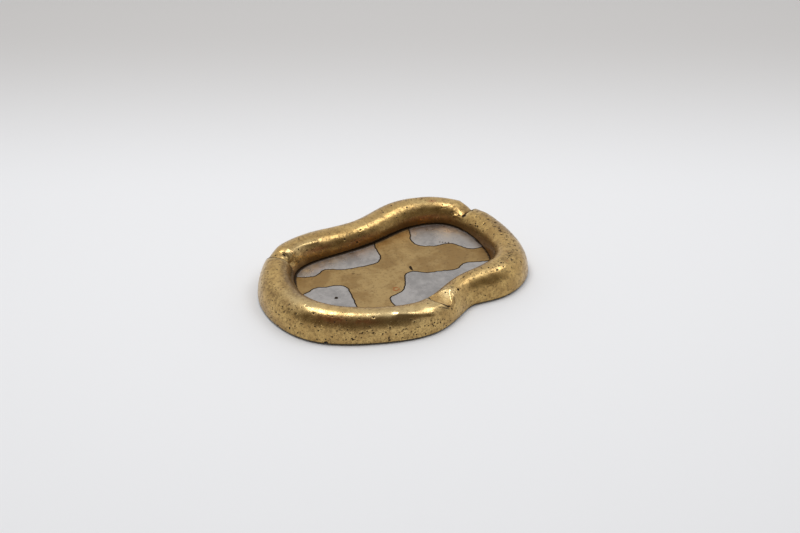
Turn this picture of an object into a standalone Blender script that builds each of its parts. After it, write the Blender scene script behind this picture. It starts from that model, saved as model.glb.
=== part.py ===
"""Ashtray: a thick cast brass rim round a brass floor with four aluminium inlays, on a felt base.

The origin is the middle of the footprint on the table, +X runs along the length and +Z is up.
"""
import bpy
import bmesh
import numpy as np

MM = 0.001

# The whole casting
LENGTH = 200.0 * MM
WIDTH = 143.0 * MM
RIM_WIDTH = 25.0 * MM
RIM_HEIGHT = 20.0 * MM
BASE_EDGE_ROUND = 0.5 * MM

# The floor that fills the rim, and the pockets in it
FLOOR_THICKNESS = 5.0 * MM
FLOOR_EDGE_COVER = 3.0 * MM
POCKET_DEPTH = 3.0 * MM

# The felt under it all
FELT_THICKNESS = 0.8 * MM
FELT_INSET = 2.5 * MM

# The cigarette rests, lapped into the crest of the rim
REST_DEPTH = 4.0 * MM
REST_WIDTH = 12.0 * MM
REST_LIP = 2.6 * MM

# Between two pieces, and past a surface that a cutter goes through
CLEARANCE = 0.3 * MM
OVERRUN = 1.0 * MM
WELD_DISTANCE = 0.01 * MM

# Heights above the table
UNDERSIDE = FELT_THICKNESS + CLEARANCE
FLOOR_TOP = UNDERSIDE + FLOOR_THICKNESS
POCKET_BOTTOM = FLOOR_TOP - POCKET_DEPTH
RIM_SEAT = FLOOR_TOP + CLEARANCE

# The rim's middle line, counter-clockwise from the right, with the rim's own unevenness.
# Each row has: x and y as shares of the middle line's half-length and half-width, the metal outside
# and inside the line as shares of half the rim's width, and the height as a share of the rim's height.
RIM_SHARES = (
    (1.00, 0.21, 0.97, 0.96, 0.92),
    (0.95, 0.57, 0.95, 0.95, 0.94),
    (0.80, 0.84, 0.99, 1.02, 0.96),
    (0.48, 0.99, 1.03, 1.08, 0.99),
    (0.14, 0.93, 1.00, 1.02, 0.94),
    (-0.16, 0.98, 0.99, 1.14, 0.91),
    (-0.43, 1.00, 0.98, 1.06, 1.00),
    (-0.71, 0.88, 0.96, 0.96, 1.08),
    (-0.91, 0.52, 1.10, 1.09, 1.04),
    (-0.98, 0.05, 1.14, 1.14, 1.00),
    (-0.91, -0.38, 1.12, 1.05, 1.06),
    (-0.70, -0.69, 1.06, 1.01, 0.99),
    (-0.41, -0.93, 1.01, 0.98, 0.94),
    (-0.14, -1.02, 1.00, 0.98, 0.91),
    (0.11, -0.93, 0.87, 0.94, 0.90),
    (0.32, -0.84, 0.86, 0.94, 0.93),
    (0.59, -0.85, 1.12, 1.03, 1.04),
    (0.84, -0.65, 1.23, 1.00, 1.00),
    (0.96, -0.26, 1.07, 0.94, 0.98),
)

# The rim's rounded section: 2 would be an ellipse, more is squarer. The rests press its skin towards a
# core line, at a share of its height. Their pressure fades out below the second share of the height.
SECTION_POWER = 2.2
CORE_HEIGHT_SHARE = 0.4
FULL_PRESS_SHARE = 0.7

# The three rests. A pair is for the rim's inner and outer side, and depth has the middle's between them.
# place: where its crease crosses the middle line, as a share of the line's length;
# lip_side: +1 where the steep lip is on the side further on, -1 where it is behind;
# run: how far on the crease lies at either side, as shares of half the rim's width;
# depth: shares of the rests' depth, where less than nothing means that the rest ends before that side;
# shoulder: the share of the depth that stays as a low shoulder past the lip;
# lip: its length as a share of the rests' lip; slope: its length, as shares of the rests' width;
# fall: places up the slope, as shares of its length, each with the share of the depth that is left there.
REST_SHARES = (
    dict(place=0.0226, lip_side=-1, run=(0.22, 0.20), depth=(-0.30, 1.10, 0.85), shoulder=0.25, lip=1.0,
         slope=(1.15, 1.05), fall=((0, 1), (0.5, 0.48), (1, 0))),
    dict(place=0.389, lip_side=1, run=(-0.16, -0.52), depth=(1.00, 0.80, 0.15), shoulder=0.0, lip=1.0,
         slope=(1.2, 1.0), fall=((0, 1), (0.5, 0.50), (1, 0))),
    dict(place=0.7147, lip_side=-1, run=(0.20, 0.70), depth=(-1.50, 1.00, -0.67), shoulder=0.1, lip=1.0,
         slope=(1.1, 0.9), fall=((0, 1), (0.5, 0.62), (1, 0))),
)

# The aluminium areas as closed outlines, in shares of the bowl's half-length and half-width. The points
# past the floor's edge lie under the rim and only close the outline.
INLAY_SHARES = {
    "inlay_back_left": (
        (-0.86, 0.88), (-0.75, 0.73), (-0.62, 0.65), (-0.52, 0.71), (-0.45, 0.66), (-0.34, 0.54),
        (-0.20, 0.46), (-0.05, 0.41), (0.03, 0.45), (0.08, 0.57), (0.11, 0.74), (0.16, 0.92),
        (0.19, 1.22), (-0.27, 1.40), (-0.73, 1.35), (-0.95, 1.10)),
    "inlay_back_right": (
        (0.60, 1.00), (0.53, 0.78), (0.48, 0.65), (0.48, 0.50), (0.52, 0.39), (0.65, 0.27),
        (0.75, 0.23), (0.81, 0.08), (0.86, -0.08), (0.98, -0.17), (1.22, -0.17), (1.30, 0.45),
        (1.12, 1.10), (0.80, 1.30)),
    "inlay_front_left": (
        (-1.22, 0.26), (-0.95, 0.34), (-0.85, 0.33), (-0.75, 0.37), (-0.66, 0.30), (-0.58, 0.26),
        (-0.50, 0.13), (-0.51, 0.00), (-0.57, -0.28), (-0.61, -0.48), (-0.70, -0.80),
        (-0.96, -0.95), (-1.25, -0.50)),
    "inlay_front_right": (
        (0.96, -0.61), (0.81, -0.48), (0.66, -0.37), (0.59, -0.42), (0.53, -0.43), (0.38, -0.33),
        (0.26, -0.24), (0.18, -0.11), (0.10, -0.10), (0.05, -0.18), (-0.03, -0.36), (-0.11, -0.46),
        (-0.24, -0.49), (-0.29, -0.57), (-0.31, -0.76), (-0.36, -1.15), (0.13, -1.40), (0.80, -1.35),
        (1.12, -1.05)),
}

# How finely the curved pieces are divided. The marks place the sections at a rest: as shares of its lip
# behind the crease, and as shares of its slope ahead of it.
STATION_STEP = 7.0 * MM
STATION_MARK_SHARES = (-1.0, -0.62, -0.30, -0.08, 0.0, 0.14, 0.32, 0.54, 0.78, 1.0)
SECTION_STEPS = 15
OUTLINE_STEPS = 44
TABLE_STEPS = 1440

BRASS = ("brass", (0.47, 0.31, 0.11, 1.0), 0.30, 1.0)
ALUMINIUM = ("aluminium", (0.33, 0.31, 0.30, 1.0), 0.45, 1.0)
FELT = ("felt", (0.03, 0.03, 0.03, 1.0), 0.95, 0.0)


def closed_curve(points, count):
    """Bend a stiff closed line through the points and return it at count places, with its direction.

    It is the closed cubic spline, whose pieces agree in slope and in bend at every point.
    """
    points = np.array(points, float)
    ahead = np.roll(points, -1, axis=0)
    gap = np.sqrt(np.hypot(*(ahead - points)[:, :2].T))
    size = len(points)
    balance = np.zeros((size, size))
    for i in range(size):
        balance[i, i - 1] += gap[i - 1]
        balance[i, i] += 2 * (gap[i - 1] + gap[i])
        balance[i, (i + 1) % size] += gap[i]
    slope = (ahead - points) / gap[:, None]
    bend = np.linalg.solve(balance, 6 * (slope - np.roll(slope, 1, axis=0)))
    knots = np.concatenate(([0.0], np.cumsum(gap)))
    place = np.linspace(0, knots[-1], count, endpoint=False)
    i = np.clip(np.searchsorted(knots, place, side="right") - 1, 0, size - 1)
    j = (i + 1) % size
    step = gap[i, None]
    b = (place[:, None] - knots[i, None]) / step
    a = 1 - b
    curve = a * points[i] + b * points[j] + ((a**3 - a) * bend[i] + (b**3 - b) * bend[j]) * step**2 / 6
    direction = slope[i] + ((3 * b**2 - 1) * bend[j] - (3 * a**2 - 1) * bend[i]) * step / 6
    return curve, direction


def outward(direction):
    """The unit vectors in the plane that point out of a counter-clockwise line."""
    across = np.stack([direction[:, 1], -direction[:, 0]], axis=1)
    return across / np.hypot(*across.T)[:, None]


def rim_table():
    """The rim's middle line by its length: x, y, outward x, outward y, outer, inner, height."""
    sizes = ((LENGTH - RIM_WIDTH) / 2, (WIDTH - RIM_WIDTH) / 2, RIM_WIDTH / 2, RIM_WIDTH / 2, RIM_HEIGHT)
    curve, direction = closed_curve(np.array(RIM_SHARES) * sizes, TABLE_STEPS)
    normal = outward(direction)
    edge = curve[:, :2] + normal * curve[:, 2:3]
    short = (LENGTH, WIDTH) - np.ptp(edge, axis=0)
    curve[:, :2] *= 1 + short / np.ptp(curve[:, :2], axis=0)
    edge = curve[:, :2] + normal * curve[:, 2:3]
    curve[:, :2] -= (edge.min(axis=0) + edge.max(axis=0)) / 2
    length = np.hypot(*(np.roll(curve, -1, axis=0) - curve)[:, :2].T)
    along = np.concatenate(([0.0], np.cumsum(length)))
    return along, np.column_stack([curve[:, :2], normal, curve[:, 2:]])


ALONG, TABLE = rim_table()
LOOP = ALONG[-1]


def rim_at(along):
    """The table's seven values at any lengths along the middle line."""
    closed = np.concatenate([TABLE, TABLE[:1]])
    return [np.interp(np.mod(along, LOOP), ALONG, column) for column in closed.T]


def unit_section(angle):
    """A squarish half circle of radius 1: the share across, with the outside positive, and the share up."""
    power = 2 / SECTION_POWER
    across = np.sign(np.cos(angle)) * np.abs(np.cos(angle))**power
    return across, np.abs(np.sin(angle))**power


def floor_edge_offset(along):
    """Where the floor ends, its cover under the rim's inner face."""
    _, _, _, _, _, inner, height = rim_at(along)
    share = (RIM_SEAT - UNDERSIDE) / height
    return FLOOR_EDGE_COVER - inner * (1 - share**SECTION_POWER)**(1 / SECTION_POWER)


def blend(pair, across_share):
    """A value between that of the rim's inner side and that of its outer side."""
    return pair[0] + (pair[1] - pair[0]) * (1 + across_share) / 2


def rest_depth(rest, across_share):
    """How deep the rest is at a share of the rim's half-width."""
    inner, middle, outer = rest["depth"]
    share = middle + (outer - inner) / 2 * across_share + ((outer + inner) / 2 - middle) * across_share**2
    return REST_DEPTH * max(share, 0)


def crease_place(rest, across_share):
    """Where the crease lies along the rim, at a share of the rim's half-width with the outside positive."""
    inner, outer = rest["run"]
    run = (outer - inner) / 2 * across_share + (outer + inner) / 2 * across_share**2
    return rest["place"] * LOOP + run * RIM_WIDTH / 2


def slope_length(rest, across_share):
    """The length of the rest's slope."""
    return REST_WIDTH * blend(rest["slope"], across_share)


def rest_stations(rest, across_share):
    """The places where sections are made at a rest, which follow its crease, its lip and its slope."""
    marks = np.array(STATION_MARK_SHARES)
    near = np.where(marks < 0, marks * rest["lip"] * REST_LIP, marks * slope_length(rest, across_share))
    return np.sort(crease_place(rest, across_share) - rest["lip_side"] * near)


def station_places(across_share):
    """The places along the rim where sections are made, for one line that runs along the rim.

    They are close together at the rests and evenly spaced between them.
    """
    places = []
    for rest, after in zip(REST_SHARES, REST_SHARES[1:] + REST_SHARES[:1]):
        round_share = 1 if after["place"] < rest["place"] else 0
        here = rest_stations(rest, across_share)
        there = rest_stations(after, across_share) + round_share * LOOP
        count = int(round((after["place"] + round_share - rest["place"]) * LOOP / STATION_STEP))
        places += [*here, *np.linspace(here[-1], there[0], count)[1:-1]]
    return np.array(places)


def rest_pinch(along, across_share):
    """How far the rests push the rim's skin in, towards the core of the section."""
    pinch = np.zeros_like(along)
    for rest in REST_SHARES:
        ahead = along - crease_place(rest, across_share)
        away = -rest["lip_side"] * (np.mod(ahead + LOOP / 2, LOOP) - LOOP / 2)
        slope = np.clip(away / slope_length(rest, across_share), 0, 1)
        lip = np.clip(-away / (rest["lip"] * REST_LIP), 0, 1)
        quarter_round = 1 - np.sqrt(1 - (1 - lip)**2)
        shoulder = 1 - smooth(-away / REST_WIDTH)
        behind = rest["shoulder"] * shoulder + (1 - rest["shoulder"]) * quarter_round
        hollow = np.where(away > 0, np.interp(slope, *np.transpose(rest["fall"])), behind)
        pinch += rest_depth(rest, across_share) * hollow
    return pinch


def smooth(share):
    """A step from 0 to 1 with soft ends."""
    share = np.clip(share, 0, 1)
    return share * share * (3 - 2 * share)


def rim_skin():
    """The rim's outer skin as lines along the rim, from the outer base over the crest to the floor."""
    lines = []
    quarter = np.pi / 2
    seat_rise = RIM_SEAT - UNDERSIDE
    for angle in np.linspace(0, np.pi, SECTION_STEPS):
        across_share, _ = unit_section(angle)
        along = station_places(across_share)
        x, y, out_x, out_y, outer, inner, height = rim_at(along)
        seat_angle = np.arcsin((seat_rise / height)**(SECTION_POWER / 2))
        inside = angle > quarter
        angles = quarter + (angle - quarter) * (1 - seat_angle / quarter) if inside else angle
        across, up = unit_section(angles)
        offset = across * (inner if inside else outer)
        rise = up * height
        lowest = seat_rise if inside else BASE_EDGE_ROUND
        press = smooth((rise - lowest) / (FULL_PRESS_SHARE * height - lowest))
        core = CORE_HEIGHT_SHARE * height
        shrink = 1 - press * rest_pinch(along, across_share) / np.hypot(offset, rise - core)
        offset = offset * shrink
        rise = np.maximum(core + (rise - core) * shrink, BASE_EDGE_ROUND)
        lines.append(np.stack([x + out_x * offset, y + out_y * offset, UNDERSIDE + rise], axis=1))
    return lines


def flat_line(along, offset, height):
    """A line along the rim at an offset from the middle line and at one height."""
    x, y, out_x, out_y = rim_at(along)[:4]
    return np.stack([x + out_x * offset, y + out_y * offset, np.full_like(along, height)], axis=1)


def material(look):
    """A plain Principled material with a name, a colour, a roughness and a metallic value."""
    name, colour, roughness, metallic = look
    made = bpy.data.materials.get(name) or bpy.data.materials.new(name)
    made.use_nodes = True
    shader = made.node_tree.nodes["Principled BSDF"]
    shader.inputs["Base Color"].default_value = colour
    shader.inputs["Roughness"].default_value = roughness
    shader.inputs["Metallic"].default_value = metallic
    return made


def place(name, mesh, look, collection):
    """Put a mesh into the collection as an object with its material."""
    made = bpy.data.objects.new(name, mesh)
    collection.objects.link(made)
    if look:
        mesh.materials.clear()
        mesh.materials.append(material(look))
    return made


def rim_casting(collection):
    """The rim: a loft between unlike sections, closed by its flat underside and the rebate in it."""
    skin = rim_skin()
    edge = station_places(1.0)
    inside = station_places(-1.0)
    outer = rim_at(edge)[4]
    rebate = floor_edge_offset(inside) + CLEARANCE
    corner = BASE_EDGE_ROUND * (1 - np.sqrt(0.5))
    lines = [
        flat_line(edge, outer - BASE_EDGE_ROUND, UNDERSIDE),
        flat_line(edge, outer - corner, UNDERSIDE + corner),
        *skin,
        flat_line(inside, rebate, RIM_SEAT),
        flat_line(inside, rebate, UNDERSIDE),
    ]
    mesh = bpy.data.meshes.new("rim_casting")
    build = bmesh.new()
    rows = [[build.verts.new(point) for point in line] for line in lines]
    for row, following in zip(rows, rows[1:] + rows[:1]):
        for i in range(len(row)):
            j = (i + 1) % len(row)
            build.faces.new((row[i], row[j], following[j], following[i]))
    bmesh.ops.recalc_face_normals(build, faces=build.faces)
    build.to_mesh(mesh)
    build.free()
    mesh.shade_smooth()
    return place("rim_casting", mesh, BRASS, collection)


def slab(name, outline, bottom, top, look, collection):
    """A flat outline filled between two heights, as a mesh."""
    curve = bpy.data.curves.new(name, "CURVE")
    curve.dimensions = "2D"
    curve.fill_mode = "BOTH"
    curve.extrude = (top - bottom) / 2
    line = curve.splines.new("POLY")
    line.points.add(len(outline) - 1)
    for point, (x, y) in zip(line.points, outline):
        point.co = (x, y, 0, 1)
    line.use_cyclic_u = True
    shape = bpy.data.objects.new(name + "_outline", curve)
    collection.objects.link(shape)
    shape.location.z = (bottom + top) / 2
    bpy.context.view_layer.update()
    mesh = bpy.data.meshes.new_from_object(shape.evaluated_get(bpy.context.evaluated_depsgraph_get()))
    mesh.name = name
    made = place(name, mesh, look, collection)
    made.matrix_world = shape.matrix_world.copy()
    bpy.data.objects.remove(shape)
    build = bmesh.new()
    build.from_mesh(mesh)
    bmesh.ops.remove_doubles(build, verts=build.verts, dist=WELD_DISTANCE)
    build.to_mesh(mesh)
    build.free()
    return made


def cut(piece, tool, operation):
    """Cut a piece with another mesh, or keep only what both share."""
    boolean = piece.modifiers.new(tool.name, "BOOLEAN")
    boolean.operation = operation
    boolean.solver = "EXACT"
    boolean.object = tool
    tool.hide_render = True
    tool.display_type = "WIRE"


def inlay_outline(name, shrink):
    """The outline of one aluminium area, drawn in from its pocket's wall by shrink."""
    bowl = (LENGTH / 2 - RIM_WIDTH, WIDTH / 2 - RIM_WIDTH)
    points = np.array(INLAY_SHARES[name]) * bowl
    curve, direction = closed_curve(points, OUTLINE_STEPS)
    x, y = curve.T
    turning = np.sign(np.sum(x * np.roll(y, -1) - np.roll(x, -1) * y))
    return curve - outward(direction) * turning * shrink


def floor_and_inlays(collection, cutters):
    """The brass floor with a pocket for each aluminium area, and the aluminium that fills them."""
    along = station_places(-1.0)
    outline = flat_line(along, floor_edge_offset(along), FLOOR_TOP)[:, :2]
    floor = slab("floor_casting", outline, UNDERSIDE, FLOOR_TOP, BRASS, collection)
    for name in INLAY_SHARES:
        pocket = slab(name + "_pocket", inlay_outline(name, 0), POCKET_BOTTOM, FLOOR_TOP + OVERRUN,
                      None, cutters)
        cut(floor, pocket, "DIFFERENCE")
        inlay = slab(name, outline, POCKET_BOTTOM + CLEARANCE, FLOOR_TOP, ALUMINIUM, collection)
        shape = slab(name + "_shape", inlay_outline(name, CLEARANCE), POCKET_BOTTOM - OVERRUN,
                     FLOOR_TOP + OVERRUN, None, cutters)
        cut(inlay, shape, "INTERSECT")


def base_felt(collection):
    """One sheet of felt under the rim and the floor, set in from the rim's outer edge."""
    along = station_places(1.0)
    outer = rim_at(along)[4]
    outline = flat_line(along, outer - BASE_EDGE_ROUND - FELT_INSET, 0)[:, :2]
    slab("base_felt", outline, 0, FELT_THICKNESS, FELT, collection)


def main():
    for old in list(bpy.data.objects):
        bpy.data.objects.remove(old)
    parts = bpy.data.collections.new("ashtray")
    cutters = bpy.data.collections.new("cutters")
    for collection in (parts, cutters):
        bpy.context.scene.collection.children.link(collection)
    rim_casting(parts)
    floor_and_inlays(parts, cutters)
    base_felt(parts)


main()
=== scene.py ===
# %% [markdown]
# A cast ashtray in brass and aluminium
#
# The real object is a heavy sand casting: a thick, uneven brass rim round a flat floor, whose grey
# areas are aluminium set flush into the brass. A founder polished it by hand and left the pits of
# the casting and the brown patina in its hollows. The CAD model that is loaded first has the plain
# forms. This lesson rebuilds each visible piece finely over it, from the same sizes, and gives it
# the finish that hand work and age left on it.

import bmesh
import bpy
import numpy as np
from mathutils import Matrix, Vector, noise
from mathutils.geometry import delaunay_2d_cdt


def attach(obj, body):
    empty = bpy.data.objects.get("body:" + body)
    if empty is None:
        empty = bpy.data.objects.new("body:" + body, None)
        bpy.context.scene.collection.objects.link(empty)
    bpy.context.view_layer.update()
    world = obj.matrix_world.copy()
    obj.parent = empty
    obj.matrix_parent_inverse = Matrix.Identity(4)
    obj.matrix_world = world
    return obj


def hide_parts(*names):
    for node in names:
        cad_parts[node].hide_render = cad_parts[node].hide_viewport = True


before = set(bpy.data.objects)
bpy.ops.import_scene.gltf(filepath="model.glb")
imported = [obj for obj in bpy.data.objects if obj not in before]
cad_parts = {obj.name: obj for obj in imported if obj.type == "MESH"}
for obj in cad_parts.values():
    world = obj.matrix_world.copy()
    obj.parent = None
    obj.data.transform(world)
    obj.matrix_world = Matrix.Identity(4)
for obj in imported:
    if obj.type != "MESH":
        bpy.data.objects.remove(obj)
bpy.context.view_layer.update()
print("CAD nodes:", ", ".join(sorted(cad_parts)))

# %% [markdown]
# The camera
#
# The photograph was taken with a longish lens from some distance, which shows in how little the far
# side of the casting shrinks. The camera stands to the left of the length's middle and looks down
# at 33 degrees. It is placed before anything is built, so that each step can be looked at from
# there.

# %% Put the camera where the photographer stood
MM = 0.001
VIEW_AZIMUTH, VIEW_ELEVATION = -35.0, 33.0
VIEW_TARGET = Vector((14.4 * MM, 13.0 * MM, 0.0))
VIEW_DISTANCE = 1377.0 * MM
LENS, SENSOR = 85.0, 36.0
CLIP_NEAR, CLIP_FAR = 0.05, 50.0


def towards(azimuth, elevation):
    """The direction of a place at an azimuth and an elevation, both in degrees."""
    azimuth, elevation = np.radians(azimuth), np.radians(elevation)
    level = np.cos(elevation)
    return Vector((np.sin(azimuth) * level, -np.cos(azimuth) * level, np.sin(elevation)))


def place_facing(thing, target, direction, distance):
    """Put a camera or a lamp at a distance from its target and turn it to face the target."""
    thing.location = target + direction * distance
    thing.rotation_euler = direction.to_track_quat("Z", "Y").to_euler()


def add_object(name, data):
    """Put a mesh, a camera or a lamp into the scene as an object at the origin."""
    made = bpy.data.objects.new(name, data)
    bpy.context.scene.collection.objects.link(made)
    return made


camera = add_object("camera", bpy.data.cameras.new("camera"))
place_facing(camera, VIEW_TARGET, towards(VIEW_AZIMUTH, VIEW_ELEVATION), VIEW_DISTANCE)
camera.data.lens, camera.data.sensor_width = LENS, SENSOR
camera.data.clip_start, camera.data.clip_end = CLIP_NEAR, CLIP_FAR
bpy.context.scene.camera = camera
print("camera at", [round(x, 3) for x in camera.location])

# %% [markdown]
# The casting's sizes
#
# These are the sizes of the CAD model, in metres. The rim is a rounded bar that follows a closed
# middle line. It is nowhere quite the same, since it was shaped by hand in the mould, so each row
# of the table below gives a place on the middle line and how much metal lies outside it, inside it
# and above it, as shares of the plain sizes. A closed spline through the rows bends as smoothly as
# the real bar.

# %% Write down the sizes
LENGTH, WIDTH = 200.0 * MM, 143.0 * MM
RIM_WIDTH, RIM_HEIGHT = 25.0 * MM, 20.0 * MM
BASE_EDGE_ROUND = 0.5 * MM
FLOOR_THICKNESS, FLOOR_EDGE_COVER, POCKET_DEPTH = 5.0 * MM, 3.0 * MM, 3.0 * MM
FELT_THICKNESS, FELT_INSET = 0.8 * MM, 2.5 * MM
REST_DEPTH, REST_WIDTH, REST_LIP = 4.0 * MM, 12.0 * MM, 2.6 * MM
CLEARANCE = 0.3 * MM

UNDERSIDE = FELT_THICKNESS + CLEARANCE
FLOOR_TOP = UNDERSIDE + FLOOR_THICKNESS
POCKET_BOTTOM = FLOOR_TOP - POCKET_DEPTH
RIM_SEAT = FLOOR_TOP + CLEARANCE

RIM_SHARES = (
    # middle line along X and along Y, metal outside it, inside it and above it
    (1.00, 0.21, 0.97, 0.96, 0.92), (0.95, 0.57, 0.95, 0.95, 0.94), (0.80, 0.84, 0.99, 1.02, 0.96),
    (0.48, 0.99, 1.03, 1.08, 0.99), (0.14, 0.93, 1.00, 1.02, 0.94), (-0.16, 0.98, 0.99, 1.14, 0.91),
    (-0.43, 1.00, 0.98, 1.06, 1.00), (-0.71, 0.88, 0.96, 0.96, 1.08),
    (-0.91, 0.52, 1.10, 1.09, 1.04), (-0.98, 0.05, 1.14, 1.14, 1.00),
    (-0.91, -0.38, 1.12, 1.05, 1.06), (-0.70, -0.69, 1.06, 1.01, 0.99),
    (-0.41, -0.93, 1.01, 0.98, 0.94), (-0.14, -1.02, 1.00, 0.98, 0.91),
    (0.11, -0.93, 0.87, 0.94, 0.90), (0.32, -0.84, 0.86, 0.94, 0.93),
    (0.59, -0.85, 1.12, 1.03, 1.04), (0.84, -0.65, 1.23, 1.00, 1.00),
    (0.96, -0.26, 1.07, 0.94, 0.98),
)
print("the casting is", LENGTH / MM, "by", WIDTH / MM, "mm")
print("its rim is about", RIM_HEIGHT / MM, "mm high")


# %% Bend a closed line through points
def closed_curve(points, count):
    """The closed cubic spline through the points at count places, and its direction there."""
    points = np.array(points, float)
    ahead = np.roll(points, -1, axis=0)
    gap = np.sqrt(np.hypot(*(ahead - points)[:, :2].T))
    size = len(points)
    balance = np.zeros((size, size))
    for i in range(size):
        balance[i, i - 1] += gap[i - 1]
        balance[i, i] += 2 * (gap[i - 1] + gap[i])
        balance[i, (i + 1) % size] += gap[i]
    slope = (ahead - points) / gap[:, None]
    bend = np.linalg.solve(balance, 6 * (slope - np.roll(slope, 1, axis=0)))
    knots = np.concatenate(([0.0], np.cumsum(gap)))
    place = np.linspace(0, knots[-1], count, endpoint=False)
    i = np.clip(np.searchsorted(knots, place, side="right") - 1, 0, size - 1)
    j = (i + 1) % size
    step = gap[i, None]
    b = (place[:, None] - knots[i, None]) / step
    a = 1 - b
    sag = (a**3 - a) * bend[i] + (b**3 - b) * bend[j]
    tilt = (3 * b**2 - 1) * bend[j] - (3 * a**2 - 1) * bend[i]
    return a * points[i] + b * points[j] + sag * step**2 / 6, slope[i] + tilt * step / 6


def outward(direction):
    """The unit vectors in the plane that point out of a counter-clockwise line."""
    across = np.stack([direction[:, 1], -direction[:, 0]], axis=1)
    return across / np.hypot(*across.T)[:, None]


# %% Measure the rim along its middle line
TABLE_STEPS = 1440


def rim_table():
    """The rim's middle line by its length: x, y, outward x, outward y, outer, inner, height."""
    middle_length, middle_width = LENGTH - RIM_WIDTH, WIDTH - RIM_WIDTH
    sizes = (middle_length / 2, middle_width / 2, RIM_WIDTH / 2, RIM_WIDTH / 2, RIM_HEIGHT)
    curve, direction = closed_curve(np.array(RIM_SHARES) * sizes, TABLE_STEPS)
    normal = outward(direction)
    edge = curve[:, :2] + normal * curve[:, 2:3]
    short = (LENGTH, WIDTH) - np.ptp(edge, axis=0)
    curve[:, :2] *= 1 + short / np.ptp(curve[:, :2], axis=0)
    edge = curve[:, :2] + normal * curve[:, 2:3]
    curve[:, :2] -= (edge.min(axis=0) + edge.max(axis=0)) / 2
    length = np.hypot(*(np.roll(curve, -1, axis=0) - curve)[:, :2].T)
    along = np.concatenate(([0.0], np.cumsum(length)))
    return along, np.column_stack([curve[:, :2], normal, curve[:, 2:]])


ALONG, TABLE = rim_table()
LOOP = ALONG[-1]


def rim_at(along):
    """The table's seven values at any lengths along the middle line."""
    closed = np.concatenate([TABLE, TABLE[:1]])
    return [np.interp(np.mod(along, LOOP), ALONG, column) for column in closed.T]


def shorter_way(distance):
    """A distance along the rim, taken the shorter way round and negative where that is back."""
    return np.mod(distance + LOOP / 2, LOOP) - LOOP / 2


print("the middle line is", round(LOOP / MM, 1), "mm long")

# %% [markdown]
# The rests
#
# At three places the bar seems to lap over itself: it ends in a rounded lip, and the bar that comes
# after starts lower, in a slope that holds a cigarette. No metal is really lapped. Each rest is a
# pinch that pushes the bar's skin in towards its core, at once behind the lip and then less and
# less up the slope. Writing the pinch as one function of the place along the rim keeps the skin in
# one piece, as on the real casting.

# %% Describe the three rests
SECTION_POWER, CORE_HEIGHT_SHARE, FULL_PRESS_SHARE = 2.2, 0.4, 0.7

REST_SHARES = (
    # run: where the crease lies at the inner and at the outer side; depth: at the inner side,
    # in the middle and at the outer side; fall: places up the slope and what is left there
    dict(place=0.0226, lip_side=-1, run=(0.22, 0.20), depth=(-0.30, 1.10, 0.85), shoulder=0.25,
         lip=0.6, slope=(1.15, 1.05), fall=((0, 1), (0.5, 0.48), (1, 0))),
    dict(place=0.389, lip_side=1, run=(-0.16, -0.52), depth=(1.00, 0.80, 0.15), shoulder=0.0,
         lip=0.5, slope=(1.2, 1.0), fall=((0, 1), (1, 0))),
    dict(place=0.7147, lip_side=-1, run=(0.20, 0.70), depth=(-1.50, 1.00, -0.67), shoulder=0.3,
         lip=0.6, slope=(1.1, 0.9), fall=((0, 0), (1, 0))),
)
print("the rests lie", [round(rest["place"] * LOOP / MM) for rest in REST_SHARES], "mm along")


# %% Shape a rest from its row
def rest_depth(rest, across_share):
    """How deep a rest is at a share of the rim's half-width, with the outside positive."""
    inner, middle, outer = rest["depth"]
    tilt, bow = (outer - inner) / 2, (outer + inner) / 2 - middle
    return REST_DEPTH * np.maximum(middle + tilt * across_share + bow * across_share**2, 0)


def crease_place(rest, across_share):
    """Where its crease lies along the rim."""
    inner, outer = rest["run"]
    run = (outer - inner) / 2 * across_share + (outer + inner) / 2 * across_share**2
    return rest["place"] * LOOP + run * RIM_WIDTH / 2


def slope_length(rest, across_share):
    """How long its slope is along the rim."""
    inner, outer = rest["slope"]
    return REST_WIDTH * (inner + (outer - inner) * (1 + across_share) / 2)


for rest in REST_SHARES:
    print("a rest is", round(float(rest_depth(rest, 0.0)) / MM, 1), "mm deep in the middle")


# %% Work out how far the rests pinch the skin
def smooth(share):
    """A step from 0 to 1 with soft ends."""
    share = np.clip(share, 0, 1)
    return share * share * (3 - 2 * share)


def away_from_crease(rest, along, across_share):
    """The distance from a rest's crease, with the slope's side positive and the lip's negative."""
    return -rest["lip_side"] * shorter_way(along - crease_place(rest, across_share))


def rest_pinch(along, across_share):
    """How far the rests push the rim's skin in, towards the core of the section."""
    pinch = np.zeros_like(along)
    for rest in REST_SHARES:
        away = away_from_crease(rest, along, across_share)
        slope = np.clip(away / slope_length(rest, across_share), 0, 1)
        lip = np.clip(-away / (rest["lip"] * REST_LIP), 0, 1)
        quarter_round = 1 - np.sqrt(1 - (1 - lip)**2)
        shoulder = 1 - smooth(-away / REST_WIDTH)
        behind = rest["shoulder"] * shoulder + (1 - rest["shoulder"]) * quarter_round
        hollow = np.where(away > 0, np.interp(slope, *np.transpose(rest["fall"])), behind)
        pinch += rest_depth(rest, across_share) * hollow
    return pinch


print("deepest pinch", round(rest_pinch(np.linspace(0, LOOP, 2000), 0.0).max() / MM, 2), "mm")

# %% [markdown]
# The rim's skin
#
# The skin is a grid: one direction runs round the bar's section, from the outer base over the crest
# to the floor, and the other runs along the bar. Lines across the bar follow each crease, so that a
# crease is a row of edges and stays crisp. The spacing of about half a millimetre is fine enough
# for the pits that are pushed in later.

# %% Choose the grid
SKIN_STEP = 0.56 * MM
SECTION_STEPS = 92
LIP_STEPS, SLOPE_STEPS = 8, 26
REST_MARKS = np.concatenate([
    np.linspace(-1, 0, LIP_STEPS + 1)[:-1], np.linspace(0, 1, SLOPE_STEPS + 1)])
print(SECTION_STEPS, "lines round the section, with points", SKIN_STEP / MM, "mm apart")


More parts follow.
